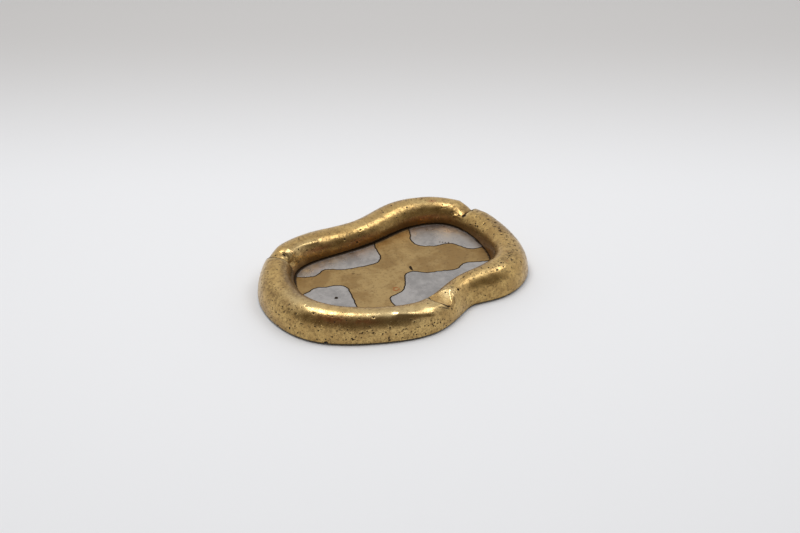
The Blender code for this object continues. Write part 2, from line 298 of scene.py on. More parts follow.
# %% Place the points of each line
def unit_section(angle):
    """A squarish half circle: the share across, with the outside positive, and the share up."""
    power = 2 / SECTION_POWER
    across = np.sign(np.cos(angle)) * np.abs(np.cos(angle))**power
    return across, np.abs(np.sin(angle))**power


def rest_stations(rest, across_share):
    """The places of one line's points at a rest, from the end of its lip up its slope."""
    near = np.where(REST_MARKS < 0, REST_MARKS * rest["lip"] * REST_LIP,
                    REST_MARKS * slope_length(rest, across_share))
    return np.sort(crease_place(rest, across_share) - rest["lip_side"] * near)


def station_places(across_share):
    """The places along the rim of one line's points: close at the rests, and even between."""
    places = []
    for rest, after in zip(REST_SHARES, REST_SHARES[1:] + REST_SHARES[:1]):
        round_share = 1 if after["place"] < rest["place"] else 0
        here = rest_stations(rest, across_share)
        there = rest_stations(after, across_share) + round_share * LOOP
        span = (after["place"] + round_share - rest["place"]) * LOOP
        count = int(round(span / SKIN_STEP)) - LIP_STEPS - SLOPE_STEPS
        places += [*here, *np.linspace(here[-1], there[0], count)[1:-1]]
    return np.array(places)


print(len(station_places(0.0)), "places along the rim")


# %% Lay the skin
def skin_line(angle):
    """One line of the skin at an angle of the section, and its places along the rim."""
    quarter = np.pi / 2
    seat_rise = RIM_SEAT - UNDERSIDE
    across_share, _ = unit_section(angle)
    along = station_places(across_share)
    x, y, out_x, out_y, outer, inner, height = rim_at(along)
    seat_angle = np.arcsin((seat_rise / height)**(SECTION_POWER / 2))
    inside = angle > quarter
    angles = quarter + (angle - quarter) * (1 - seat_angle / quarter) if inside else angle
    across, up = unit_section(angles)
    offset = across * (inner if inside else outer)
    rise = up * height
    lowest = seat_rise if inside else BASE_EDGE_ROUND
    press = smooth((rise - lowest) / (FULL_PRESS_SHARE * height - lowest))
    core = CORE_HEIGHT_SHARE * height
    shrink = 1 - press * rest_pinch(along, across_share) / np.hypot(offset, rise - core)
    offset = offset * shrink
    rise = np.maximum(core + (rise - core) * shrink, BASE_EDGE_ROUND)
    return np.stack([x + out_x * offset, y + out_y * offset, UNDERSIDE + rise], axis=1), along


section_angles = np.linspace(0, np.pi, SECTION_STEPS)
laid = [skin_line(angle) for angle in section_angles]
skin = np.array([line for line, _ in laid])
skin_along = np.array([along for _, along in laid])
skin_across = np.broadcast_to(unit_section(section_angles)[0][:, None], skin_along.shape)
print("skin of", skin.shape[0] * skin.shape[1], "points")

# %% [markdown]
# Hand marks
#
# A polished casting isn't smooth in the large: files and wheels leave shallow swells, which is what
# makes the highlight on the crest waver. The marks are moves of the skin along its own normal, so
# they are shape and not shading, and they show in the outline too. Some are particular to this
# casting: a small dimple before the left rest, a few filed lines and low ridges near the rests, and
# two ground facets where the front rest's slope begins.

# %% Find the skin's normals
def skin_normals(points):
    """The unit vectors that point out of the skin at each of its points."""
    along = np.roll(points, -1, axis=1) - np.roll(points, 1, axis=1)
    across = np.gradient(points, axis=0)
    normal = np.cross(along, across)
    normal /= np.linalg.norm(normal, axis=2, keepdims=True)
    upright = normal[len(normal) // 2, :, 2].mean()
    return normal * np.sign(upright)


normals = skin_normals(skin)
print("the crest's normals point up by", round(float(normals[SECTION_STEPS // 2, :, 2].mean()), 3))

# %% Swell the skin unevenly
SWELLS = ((19.0 * MM, 0.26 * MM), (7.5 * MM, 0.10 * MM), (3.2 * MM, 0.025 * MM))


def unevenness(points, swells, shift=0.0):
    """The sum of smooth noises at the points, each with its wavelength and its height."""
    flat = points.reshape(-1, 3)
    total = np.zeros(len(flat))
    for length, height in swells:
        total += height * np.array([noise.noise(Vector(p)) for p in flat / length + shift])
    return total.reshape(points.shape[:-1])


lift = unevenness(skin, SWELLS)
print("swells from", round(lift.min() / MM, 2), "to", round(lift.max() / MM, 2), "mm")

# %% Press in the dimple before the left rest
DIMPLE_PLACE, DIMPLE_TURN = np.array([-62.6, 47.7]) * MM, np.radians(-48.0)
DIMPLE_HALF_LENGTH, DIMPLE_HALF_WIDTH, DIMPLE_DEPTH = 3.8 * MM, 2.0 * MM, 0.60 * MM
DIMPLE_SOFTNESS, STEEPEST_DIMPLED = 0.8, 0.5


def turned_about(points, place, turn):
    """Coordinates in plan from a place, along and across a direction."""
    x, y = points[..., 0] - place[0], points[..., 1] - place[1]
    return x * np.cos(turn) + y * np.sin(turn), y * np.cos(turn) - x * np.sin(turn)


lengthwise, widthwise = turned_about(skin, DIMPLE_PLACE, DIMPLE_TURN)
from_dimple = (lengthwise / DIMPLE_HALF_LENGTH)**2 + (widthwise / DIMPLE_HALF_WIDTH)**2
in_dimple = smooth(normals[..., 2] / STEEPEST_DIMPLED) * np.exp(-from_dimple / DIMPLE_SOFTNESS**2)
lift -= DIMPLE_DEPTH * in_dimple
print("the dimple is", round(2 * DIMPLE_HALF_LENGTH / MM, 1), "mm long")

# %% Write down the lines and ridges of the hand work
HAND_LINES = (
    # width and depth in mm, where a ridge has a negative depth, and how much painted shade darkens it,
    # then its path: places along the rim, as shares of its length, and shares across it
    (0.5, 0.25, 0.7, ((0.711, 0.58), (0.717, 0.70), (0.723, 0.80))),
    (0.6, 0.35, 0.7, ((0.7147, -0.35), (0.7150, -0.60), (0.7165, -0.78))),
    (0.9, -0.40, 0.0, ((0.7435, 0.42), (0.7421, 0.52), (0.7400, 0.68), (0.7375, 0.79))),
    (1.8, -0.55, 0.0, ((0.305, -0.62), (0.330, -0.58), (0.348, -0.58), (0.363, -0.66),
                       (0.372, -0.75))),
    (1.0, -0.45, 0.0, ((0.0437, -0.87), (0.0392, -0.86))),
    (3.3, -0.80, 0.0, ((0.655, 0.42), (0.670, 0.52), (0.687, 0.66), (0.698, 0.74))),
)
print(sum(depth > 0 for _, depth, _, _ in HAND_LINES), "lines to cut, the rest are ridges")


# %% Cut the lines and leave the ridges
def skin_point(place, share):
    """The skin's point nearest to a place along the rim and a share across it."""
    line = int(np.argmin(np.abs(skin_across[:, 0] - share)))
    off = np.abs(shorter_way(skin_along[line] - place * LOOP))
    return skin[line, int(np.argmin(off))]


def gap_to_path(points, path):
    """The distance from each point to a path of straight lines."""
    nearest = np.full(points.shape[:-1], np.inf)
    for a, b in zip(path, path[1:]):
        share = np.clip((points - a) @ (b - a) / ((b - a) @ (b - a)), 0, 1)
        off = points - a - share[..., None] * (b - a)
        nearest = np.minimum(nearest, np.linalg.norm(off, axis=-1))
    return nearest


# The dark along the cut lines is painted shade, not dirt
line_shade = np.zeros(skin.shape[:2])
for width, depth, painted_shade, path in HAND_LINES:
    path_points = np.array([skin_point(*place) for place in path])
    near = np.exp(-(gap_to_path(skin, path_points) / (width * MM))**2)
    lift -= depth * MM * near
    line_shade = np.maximum(line_shade, painted_shade * near)
print("the skin moves from", round(lift.min() / MM, 2), "to", round(lift.max() / MM, 2), "mm")

# %% Move the skin
worked = skin + normals * lift[..., None]
worked[0], worked[-1] = skin[0], skin[-1]
print("farthest move", round(float(np.abs(lift).max() / MM), 2), "mm")

# %% Grind the two facets of the front rest
FACETS_POINT = np.array([5.6, -56.8, 16.9]) * MM
FACETS = (
    # the facet's rises along x and y from the point that both share, and its bow in mm
    (0.11, 0.28, 0.5),
    (0.42, 0.30, 0.0),
)
BOW_REACH, SLOPE_REACH = 10 * MM, 40 * MM
FACET_RIDGE, FACET_END_WIDTH = 0.08 * MM, 0.8 * MM
FACETS_END = np.array([(9.8, -55.6), (6.2, -62.0)]) * MM

after_crease = away_from_crease(REST_SHARES[2], skin_along, skin_across)
bent = (after_crease / BOW_REACH)**2
x, y, z = np.moveaxis(worked, -1, 0)
px, py, pz = FACETS_POINT
left_facet, right_facet = [
    pz + rise_x * (x - px) + rise_y * (y - py) + bow * MM * bent for rise_x, rise_y, bow in FACETS]
ground = np.logaddexp(left_facet / FACET_RIDGE, right_facet / FACET_RIDGE) * FACET_RIDGE
(ax, ay), (bx, by) = FACETS_END
past_end = ((y - ay) * (bx - ax) - (x - ax) * (by - ay)) / np.hypot(bx - ax, by - ay)
on_slope = (after_crease > 0) & (after_crease < SLOPE_REACH)
cut = on_slope * smooth(-past_end / FACET_END_WIDTH) * np.maximum(z - ground, 0)
worked[..., 2] -= cut
print("deepest cut", round(cut.max() / MM, 2), "mm")

# %% Note where dirt and tarnish climb from the seam, and where shade is painted into the dimple
SEAM_GRIME = dict(height=0.6 * MM, more=1.1 * MM, place=0.20)
SEAM_TARNISH = dict(height=6.5 * MM, more=7.0 * MM, place=0.91)
MORE_SPREAD = 0.05
# How strong and how tight the painted shade in the dimple's core is
DIMPLE_SHADE_STRENGTH, DIMPLE_SHADE_POWER = 1.5, 5


def seam_stain(height, more, place):
    """A stain on the inner face that fades above the floor, and climbs more near one place."""
    climbs = height + more * np.exp(-((skin_along / LOOP - place) / MORE_SPREAD)**2)
    above_seat = np.maximum(worked[..., 2] - RIM_SEAT, 0)
    return np.where(skin_across < 0, np.exp(-(above_seat / climbs)**2), 0)


# The dimple's dark core is painted shade, laid in with the dirt of the seam
dimple_shade = DIMPLE_SHADE_STRENGTH * in_dimple**DIMPLE_SHADE_POWER
# The seam's dirt and the painted shade of the dimple and the cut lines, in one set of numbers
grime = np.maximum.reduce([seam_stain(**SEAM_GRIME), line_shade, dimple_shade])
tarnish = seam_stain(**SEAM_TARNISH)
print("grimy points:", int((grime > 0.5).sum()))

# %% Note where painted shade, tarnish and a painted highlight lie at the creases
# The dark line along each crease is painted shade, and the lip's shine is a painted highlight
SLOPE_SHADE_WIDTH, LIP_SHADE_WIDTH, LIP_SHADE_FADE = 1.0 * MM, 1.1 * MM, 0.9 * MM
CREASE_TARNISH, CREASE_TARNISH_WIDTH = 0.7, 2.6 * MM
SHINE_PLACE, SHINE_WIDTH = 2.6 * MM, 0.8 * MM
CREASE_MARKS_FROM, CREASE_MARKS_FULL = 6 * MM, 14 * MM
DEEP_SHARE = 0.2

lip_shine = np.zeros(skin.shape[:2])
high = smooth((worked[..., 2] - CREASE_MARKS_FROM) / (CREASE_MARKS_FULL - CREASE_MARKS_FROM))
for rest in REST_SHARES:
    away = away_from_crease(rest, skin_along, skin_across)
    # Painted shade along the crease, on the slope's side and on the lip's side
    on_lip = 1 - smooth((-away - LIP_SHADE_WIDTH) / LIP_SHADE_FADE)
    line = np.where(away > 0, np.exp(-(away / SLOPE_SHADE_WIDTH)**2), on_lip)
    depth = high * smooth(rest_depth(rest, skin_across) / (DEEP_SHARE * REST_DEPTH))
    stain = CREASE_TARNISH * np.exp(-(away / CREASE_TARNISH_WIDTH)**2)
    # A lighter band on the lip, a painted highlight, that goes into the worn brass
    shine = np.exp(-((away + SHINE_PLACE) / SHINE_WIDTH)**2)
    grime = np.maximum(grime, depth * line)
    tarnish = np.maximum(tarnish, depth * stain)
    lip_shine = np.maximum(lip_shine, depth * shine)
print("grimy points with the creases:", int((grime > 0.5).sum()))


# %% Draw level lines along the rim
def floor_edge_offset(along):
    """Where the floor ends, its cover under the rim's inner face."""
    _, _, _, _, _, inner, height = rim_at(along)
    share = (RIM_SEAT - UNDERSIDE) / height
    return FLOOR_EDGE_COVER - inner * (1 - share**SECTION_POWER)**(1 / SECTION_POWER)


def flat_line(along, offset, height):
    """A line along the rim at an offset from the middle line and at one height."""
    x, y, out_x, out_y = rim_at(along)[:4]
    return np.stack([x + out_x * offset, y + out_y * offset, np.full_like(along, height)], axis=1)


edge, seat = skin_along[0], skin_along[-1]
rebate = floor_edge_offset(seat) + CLEARANCE
print("the floor's edge lies", round(float(-rebate.mean() / MM), 1), "mm in from the middle line")

# %% Join the skin to the underside
foot = rim_at(edge)[4]
corner = BASE_EDGE_ROUND * (1 - np.sqrt(0.5))
grid = np.array([
    flat_line(edge, foot - BASE_EDGE_ROUND, UNDERSIDE),
    flat_line(edge, foot - corner, UNDERSIDE + corner),
    *worked,
    flat_line(seat, rebate, RIM_SEAT),
    flat_line(seat, rebate, UNDERSIDE),
])
print("grid of", grid.shape[0], "lines")


# %% Make the closed mesh of the rim
def ring_mesh(name, lines):
    """A closed ring of quads: each line of points is joined to the next, the last to the first."""
    rows, count = lines.shape[:2]
    index = np.arange(rows * count).reshape(rows, count)
    below, beside = np.roll(index, -1, axis=0), np.roll(index, -1, axis=1)
    corner_index = np.roll(below, -1, axis=1)
    quads = np.stack([index, beside, corner_index, below], axis=-1).reshape(-1, 4)
    mesh = bpy.data.meshes.new(name)
    mesh.from_pydata(lines.reshape(-1, 3).tolist(), [], quads.tolist())
    build = bmesh.new()
    build.from_mesh(mesh)
    bmesh.ops.recalc_face_normals(build, faces=build.faces)
    build.to_mesh(mesh)
    build.free()
    mesh.shade_smooth()
    return mesh


rim_mesh = ring_mesh("cast_rim", grid)
print("rim:", len(rim_mesh.polygons), "quads")

# %% Store its dirt and its tarnish
BASE_GRIME, BASE_TARNISH = 0.7, 0.5


def store(mesh, name, values):
    """Keep one number for each of the mesh's points, for its material to read."""
    attribute = mesh.attributes.new(name, "FLOAT", "POINT")
    attribute.data.foreach_set("value", np.asarray(values, np.float32).ravel())


def with_borders(values, at_base, at_seat):
    """Values on the skin, with one value for the two lines added at each of its edges."""
    ends = np.ones((2, values.shape[1]))
    return np.concatenate([at_base * ends, values, at_seat * ends])


# These numbers hold the seam's dirt and the painted shade of the creases, the dimple and the cut lines
store(rim_mesh, "grime", with_borders(grime, BASE_GRIME, 1.0))
store(rim_mesh, "tarnish", with_borders(tarnish, BASE_TARNISH, 1.0))
print("stored for", len(rim_mesh.vertices), "points")

# %% [markdown]
# Casting pits
#
# Gas and sand leave small holes in a casting, crowded in some places and missing in others. They
# repeat by the hundred and follow a surface, which is work for Geometry Nodes: points are scattered
# on the skin where it is porous, each gets a size, and the skin's own points near one are pushed
# in. The tree also keeps how deep in a pit each point lies, because dirt fills the pits and the
# brass material darkens there. The largest pits are marked at the places where the photograph
# shows them, and the smallest are left to the material.

# %% Say where the casting is porous
EVEN_POROSITY = 0.10
POROUS_PLACES = (
    # place along the rim, share across it, reach in mm along and share across, crowding
    (0.63, 0.92, 38, 0.12, 1.0), (0.53, 0.83, 25, 0.16, 0.7), (0.48, 0.70, 20, 0.25, 0.4),
    (0.99, 0.00, 14, 0.35, 1.0), (0.94, 0.00, 22, 0.35, 1.0), (0.89, 0.15, 15, 0.30, 0.8),
    (0.24, -0.90, 14, 0.10, 1.0), (0.32, -0.74, 10, 0.15, 0.7), (0.76, -0.45, 9, 0.35, 1.2),
    (0.76, 0.40, 7, 0.20, 1.0), (0.85, 0.25, 10, 0.20, 1.0), (0.83, 0.60, 16, 0.25, 0.5),
    (0.06, -0.60, 14, 0.20, 0.6), (0.13, 0.10, 22, 0.50, 0.3), (0.70, 0.90, 20, 0.15, 0.6),
    (0.96, 0.10, 14, 0.25, 0.9), (0.915, 0.20, 12, 0.30, 0.9), (0.885, 0.50, 14, 0.30, 0.7),
    (0.45, 0.45, 30, 0.35, 0.35), (0.55, 0.45, 22, 0.20, 0.4), (0.80, 0.00, 22, 0.22, 1.0),
    (0.835, 0.30, 10, 0.22, 0.9),
)


def soft_patches(places):
    """One soft patch on the skin for each row of a table, as strong as the row says."""
    for place, share, reach, spread, strength in places:
        ahead = shorter_way(skin_along - place * LOOP) / (reach * MM)
        yield strength * np.exp(-ahead**2 - ((skin_across - share) / spread)**2)


porous = sum(soft_patches(POROUS_PLACES), EVEN_POROSITY)
store(rim_mesh, "porosity", with_borders(porous, 0.0, 0.0))
print("porosity up to", round(float(porous.max()), 2))

# %% Say where hands have kept it bright, partly as a painted highlight, and where it is brown, partly as painted shade, red or dull
# Polished wear, whose paler colour is also a painted highlight on the crests and the facet
WORN_AND_HIGHLIT_PLACES = (
    # place along the rim, share across it, reach in mm along and share across, strength
    (0.655, 0.30, 42, 0.45, 1.0), (0.742, 0.10, 6, 0.60, 1.0), (0.367, -0.50, 8, 0.30, 0.8),
    (0.515, 0.15, 22, 0.40, 0.9), (0.090, -0.25, 24, 0.25, 0.5), (0.210, -0.30, 20, 0.25, 0.3),
    (0.340, -0.55, 22, 0.25, 0.7), (0.830, 0.20, 22, 0.30, 0.4),
)
# Brown patina, and some patches painted brown as shade over highlights
PATINA_AND_SHADE_PLACES = (
    (0.245, -0.77, 20, 0.14, 0.8), (0.300, -0.76, 22, 0.14, 0.6), (0.120, -0.60, 20, 0.16, 0.7),
    (0.045, -0.55, 12, 0.25, 0.6), (0.870, 0.25, 16, 0.30, 0.6), (0.960, 0.30, 24, 0.40, 0.3),
    (0.470, 0.55, 22, 0.20, 0.5), (0.635, 0.68, 32, 0.13, 0.7), (0.725, -0.25, 6, 0.50, 1.0),
    (0.450, -0.60, 34, 0.40, 1.0), (0.560, -0.55, 20, 0.20, 0.5), (0.387, -0.10, 5, 0.45, 1.0),
    (0.033, -0.35, 5, 0.40, 1.0), (0.384, -0.86, 6, 0.14, 1.0), (0.485, -0.20, 16, 0.35, 0.7),
    (0.620, -0.35, 40, 0.20, 0.5),
)
RED_PLACES = (
    (0.566, 0.62, 9, 0.13, 1.0), (0.605, 0.64, 9, 0.11, 0.8), (0.089, -0.25, 3, 0.10, 0.8),
    (0.235, -0.92, 12, 0.06, 0.8), (0.310, -0.87, 12, 0.06, 0.7), (0.100, -0.95, 25, 0.05, 0.9),
)
DULL_PLACES = ((0.790, 0.30, 26, 0.60, 1.0), (0.050, -0.40, 12, 0.40, 0.7))

# The worn places with the lip's painted highlight
worn = np.maximum.reduce([lip_shine, *soft_patches(WORN_AND_HIGHLIT_PLACES)])
brown, red, dull = [np.maximum.reduce(list(soft_patches(places)))
                    for places in (PATINA_AND_SHADE_PLACES, RED_PLACES, DULL_PLACES)]
for name, values in dict(worn=worn, brown=brown, red=red, dull=dull).items():
    store(rim_mesh, name, with_borders(values, 0.0, 0.0))
    print(name, "on", int((values > 0.3).sum()), "points")

# %% Mark the largest pits
MARKED_PITS = (
    # place along the rim, share across it, radius in mm
    (0.758, 0.45, 1.10), (0.750, 0.45, 0.55), (0.764, -0.15, 0.60), (0.762, -0.70, 0.60),
    (0.754, -0.70, 0.65), (0.727, -0.40, 0.80), (0.700, 0.05, 0.70), (0.728, 0.85, 0.70),
    (0.703, 0.90, 0.55), (0.713, 0.95, 0.60), (0.966, 0.15, 1.15), (0.000, 0.25, 0.80),
    (0.966, -0.80, 0.70), (0.940, -0.55, 0.75), (0.002, -0.90, 0.60), (0.045, -0.85, 0.60),
    (0.034, -0.80, 0.60), (0.065, -0.65, 0.50), (0.327, 0.00, 0.80), (0.329, -0.80, 0.65),
    (0.380, 0.25, 0.65), (0.421, 0.45, 0.70), (0.558, 1.00, 1.40), (0.568, 0.70, 0.70),
    (0.050, -0.78, 0.60), (0.090, -0.20, 0.55), (0.980, 0.00, 1.10), (0.990, 0.10, 0.75),
    (0.010, 0.00, 0.65), (0.985, -0.80, 0.80), (0.960, -0.65, 0.60), (0.940, -0.05, 0.90),
    (0.930, -0.15, 0.85), (0.910, -0.75, 0.85), (0.875, 0.75, 0.85), (0.930, 0.45, 0.70),
    (0.920, 0.05, 0.80), (0.900, 0.35, 0.80), (0.865, 0.25, 0.65), (0.850, 0.30, 0.60),
    (0.811, 0.28, 0.60), (0.797, 0.02, 0.60), (0.832, 0.23, 0.60), (0.863, 0.45, 0.60),
    (0.787, -0.05, 0.55), (0.769, -0.33, 0.55), (0.755, -0.05, 0.55), (0.000, 0.05, 0.60),
    (0.855, 0.66, 0.55), (0.581, 0.92, 0.60), (0.616, 0.88, 0.55),
)
marks = bpy.data.meshes.new("marked_pits")
pit_places = [skin_point(place, share) for place, share, _ in MARKED_PITS]
marks.from_pydata([place.tolist() for place in pit_places], [], [])
store(marks, "pit_radius", [radius * MM for _, _, radius in MARKED_PITS])
marked = add_object("marked_pits", marks)
print(len(MARKED_PITS), "pits marked by hand")


# %% Write a short way to add nodes
def feed(tree, node, feeds):
    """Feed a node's inputs, by index or name, with plain values or other nodes' outputs."""
    for key, value in feeds.items():
        if isinstance(value, bpy.types.NodeSocket):
            tree.links.new(value, node.inputs[key])
        else:
            node.inputs[key].default_value = value


def put(tree, kind, feeds=None, **settings):
    """Add a node, set its properties and feed its inputs."""
    made = tree.nodes.new(kind)
    for name, value in settings.items():
        setattr(made, name, value)
    feed(tree, made, feeds or {})
    return made


# %% Write short ways to calculate with nodes
def calculate(tree, operation, a, b=0.0):
    """A Math node's result."""
    return put(tree, "ShaderNodeMath", {0: a, 1: b}, operation=operation).outputs[0]


def plus(tree, a, b):
    """The sum of two values."""
    return calculate(tree, "ADD", a, b)


def times(tree, a, b):
    """The product of two values."""
    return calculate(tree, "MULTIPLY", a, b)


def remap(tree, value, low, high, to_low=0.0, to_high=1.0, kind="SMOOTHSTEP"):
    """A Map Range node's result, soft at both ends unless the kind says otherwise."""
    feeds = {0: value, 1: low, 2: high, 3: to_low, 4: to_high}
    return put(tree, "ShaderNodeMapRange", feeds, interpolation_type=kind).outputs[0]


# %% Start the tree of the pits with named inputs
PIT_INPUTS = (
    ("Geometry", "NodeSocketGeometry", None),
    ("Pits per square metre", "NodeSocketFloat", 42000.0),
    ("Smallest radius", "NodeSocketFloat", 0.36 * MM),
    ("Largest radius", "NodeSocketFloat", 0.80 * MM),
    ("Bias to small", "NodeSocketFloat", 2.5),
    ("Depth per radius", "NodeSocketFloat", 0.75),
    ("Raggedness", "NodeSocketFloat", 0.45),
    ("Marked pits", "NodeSocketObject", None),
    ("Material", "NodeSocketMaterial", None),
    ("Seed", "NodeSocketInt", 7),
)
pits = bpy.data.node_groups.new("casting_pits", "GeometryNodeTree")
pits.interface.new_socket("Geometry", in_out="OUTPUT", socket_type="NodeSocketGeometry")
for name, kind, value in PIT_INPUTS:
    socket = pits.interface.new_socket(name, in_out="INPUT", socket_type=kind)
    if value is not None:
        socket.default_value = value
given = put(pits, "NodeGroupInput").outputs
print("inputs:", ", ".join(name for name, _, _ in PIT_INPUTS[1:]))


# %% Scatter points and give each a radius
def number_kept(name):
    """A number that was stored on the points of a geometry."""
    return put(pits, "GeometryNodeInputNamedAttribute", {"Name": name},
               data_type="FLOAT").outputs[0]


def keep_number(geometry, name, value):
    """Store a number on the points of a geometry."""
    return put(pits, "GeometryNodeStoreNamedAttribute",
               {"Geometry": geometry, "Name": name, "Value": value},
               data_type="FLOAT", domain="POINT").outputs[0]


density = times(pits, number_kept("porosity"), given["Pits per square metre"])
scattered = put(pits, "GeometryNodeDistributePointsOnFaces",
                {"Mesh": given["Geometry"], "Density": density, "Seed": given["Seed"]},
                distribute_method="RANDOM").outputs["Points"]
chance = put(pits, "FunctionNodeRandomValue", {"Seed": given["Seed"]}, data_type="FLOAT").outputs[1]
mostly_small = calculate(pits, "POWER", chance, given["Bias to small"])
radius = remap(pits, mostly_small, 0.0, 1.0, given["Smallest radius"], given["Largest radius"],
               "LINEAR")
by_hand = put(pits, "GeometryNodeObjectInfo", {"Object": given["Marked pits"]}).outputs["Geometry"]
centres = put(pits, "GeometryNodeJoinGeometry")
for points in (keep_number(scattered, "pit_radius", radius),
               put(pits, "GeometryNodeMeshToPoints", {"Mesh": by_hand}).outputs[0]):
    pits.links.new(points, centres.inputs[0])
print("scattering nodes:", len(pits.nodes))

# %% Find how deep in a pit each point of the skin lies
EDGE_NOISE_SCALE = 900.0
PIT_FULL, PIT_RIM = 0.35, 1.1


def gap_between(tree, a, b):
    """The distance between two places."""
    return put(tree, "ShaderNodeVectorMath", {0: a, 1: b}, operation="DISTANCE").outputs["Value"]


def frayed(tree, value, uneven, amount):
    """A value that noise raises and lowers by an amount."""
    return plus(tree, value, times(tree, calculate(tree, "SUBTRACT", uneven, 0.5), amount))


def at_nearest(value, data_type):
    """A value at the pit centre nearest to each point of the skin."""
    return put(pits, "GeometryNodeSampleIndex",
               {"Geometry": centres.outputs[0], "Value": value, "Index": nearest},
               data_type=data_type, domain="POINT").outputs[0]


where = put(pits, "GeometryNodeInputPosition").outputs[0]
nearest = put(pits, "GeometryNodeSampleNearest", {"Geometry": centres.outputs[0]},
              domain="POINT").outputs[0]
pit_radius = at_nearest(number_kept("pit_radius"), "FLOAT")
distance = gap_between(pits, where, at_nearest(where, "FLOAT_VECTOR"))
crumble = put(pits, "ShaderNodeTexNoise", {"Scale": EDGE_NOISE_SCALE, "Detail": 1.0}).outputs[0]
share_out = calculate(pits, "DIVIDE", distance, pit_radius)
share_out = frayed(pits, share_out, crumble, given["Raggedness"])
inside_pit = remap(pits, share_out, PIT_FULL, PIT_RIM, 1.0, 0.0)
print("nodes with the pits' shape:", len(pits.nodes))

# %% Push the skin in and end the tree
depth = times(pits, inside_pit, times(pits, pit_radius, given["Depth per radius"]))
normal = put(pits, "GeometryNodeInputNormal").outputs[0]
inwards = put(pits, "ShaderNodeVectorMath", {0: normal, "Scale": times(pits, depth, -1.0)},
              operation="SCALE").outputs[0]
remembered = keep_number(given["Geometry"], "pit", inside_pit)
shape = put(pits, "GeometryNodeSetPosition", {"Geometry": remembered, "Offset": inwards})
shape = put(pits, "GeometryNodeRealizeInstances", {"Geometry": shape.outputs[0]})
shape = put(pits, "GeometryNodeSetMaterial",
            {"Geometry": shape.outputs[0], "Material": given["Material"]})
put(pits, "NodeGroupOutput", {0: shape.outputs[0]})
print("the tree of the pits has", len(pits.nodes), "nodes")

# %% [markdown]
# The finish of the rim
#
# Polished brass is a metal whose colour comes from what it reflects, so its own colour is that of
# clean brass, and the surroundings darken it. What makes it look old is laid over this: slow
# changes of tone from alloy and lacquer, brown patina in small flecks, and near-black dirt where
# the polishing cloth never reached, in the pits and the seam along the floor. The same near-black
# is painted into the creases, the dimple and a few cut lines as painted shade, some brown patches
# are painted shade over highlights, and the paler brass of the worn places is partly a painted
# highlight. Patina and dirt are also rougher and less metallic than brass.

# %% Start a material
def surface(name):
    """A new material, its node tree and its Principled shader."""
    made = bpy.data.materials.new(name)
    made.use_nodes = True
    return made, made.node_tree, made.node_tree.nodes["Principled BSDF"]


def own_place(tree):
    """Each place in the object's own coordinates."""
    return put(tree, "ShaderNodeTexCoord").outputs["Object"]


def texture(tree, size, detail=2.0, stretch=(1, 1, 1), turn=(0, 0, 0), rough=0.5):
    """Noise on the object's own coordinates, with features of a size in metres."""
    feeds = {"Vector": own_place(tree), "Rotation": turn, "Scale": stretch}
    turned = put(tree, "ShaderNodeMapping", feeds).outputs[0]
    feeds = {"Vector": turned, "Scale": 1.0 / size, "Detail": detail, "Roughness": rough}
    return put(tree, "ShaderNodeTexNoise", feeds).outputs[0]


polished_brass, tree, shader = surface("polished_brass")
print("started", polished_brass.name)

# %% Mix the brass of the rim
BRASS = (0.59, 0.400, 0.150, 1)
BRASS_DEEP = (0.425, 0.271, 0.097, 1)
# Paler worn brass, which also paints the highlights paler
WORN_BRASS_AND_HIGHLIGHT = (0.64, 0.50, 0.26, 1)
# The colour of patina, also used as painted shade over some highlights
PATINA_AND_SHADE_COLOUR = (0.17, 0.105, 0.042, 1)
TARNISH = (0.19, 0.088, 0.024, 1)
COPPER_STAIN = (0.42, 0.175, 0.075, 1)
# The colour of dirt, also used as painted shade in the creases and the dimple
DIRT_AND_SHADE = (0.034, 0.021, 0.011, 1)
VERDIGRIS = (0.070, 0.088, 0.052, 1)


def kept(tree, name):
    """A number that was stored on the mesh's points."""
    return put(tree, "ShaderNodeAttribute", attribute_name=name).outputs["Fac"]


def all_but(tree, value, share):
    """1, less a share of a value."""
    return calculate(tree, "SUBTRACT", 1.0, times(tree, value, share))


# Where the brass is worn bright, partly as a painted highlight
worn_and_highlit = remap(tree, texture(tree, 6 * MM, 3.0), 0.3, 0.7, 0.6, 1.0)
worn_and_highlit = times(tree, kept(tree, "worn"), worn_and_highlit)
tone = remap(tree, texture(tree, 12 * MM, 5.0, rough=0.65), 0.38, 0.60)
flecks = times(tree, kept(tree, "brown"), 0.13)
flecks = plus(tree, texture(tree, 2.0 * MM, 5.0, rough=0.75), flecks)
flecks = times(tree, remap(tree, flecks, 0.46, 0.68, 0.0, 0.80), all_but(tree, worn_and_highlit, 0.6))
stain = remap(tree, texture(tree, 9 * MM, 2.0), 0.67, 0.78, 0.0, 0.4)
reddish = times(tree, kept(tree, "red"), remap(tree, texture(tree, 3 * MM, 3.0), 0.28, 0.50))
# Dirt, and the painted shade of the creases, the dimple and the cut lines
dirt_and_shade = frayed(tree, kept(tree, "grime"), texture(tree, 1.3 * MM, 3.0), 0.9)
dirt_and_shade = remap(tree, dirt_and_shade, 0.20, 0.70)
tarnished = frayed(tree, kept(tree, "tarnish"), texture(tree, 5 * MM, 3.0), 0.8)
tarnished = remap(tree, tarnished, 0.15, 0.95, 0.0, 0.84)
green = remap(tree, texture(tree, 14 * MM, 1.0, turn=(1, 0, 0)), 0.62, 0.70)
print("rim brass has", len(tree.nodes), "nodes for its tones")

# %% Put holes into the brass of the rim
SMALLEST_SHARE = 0.35


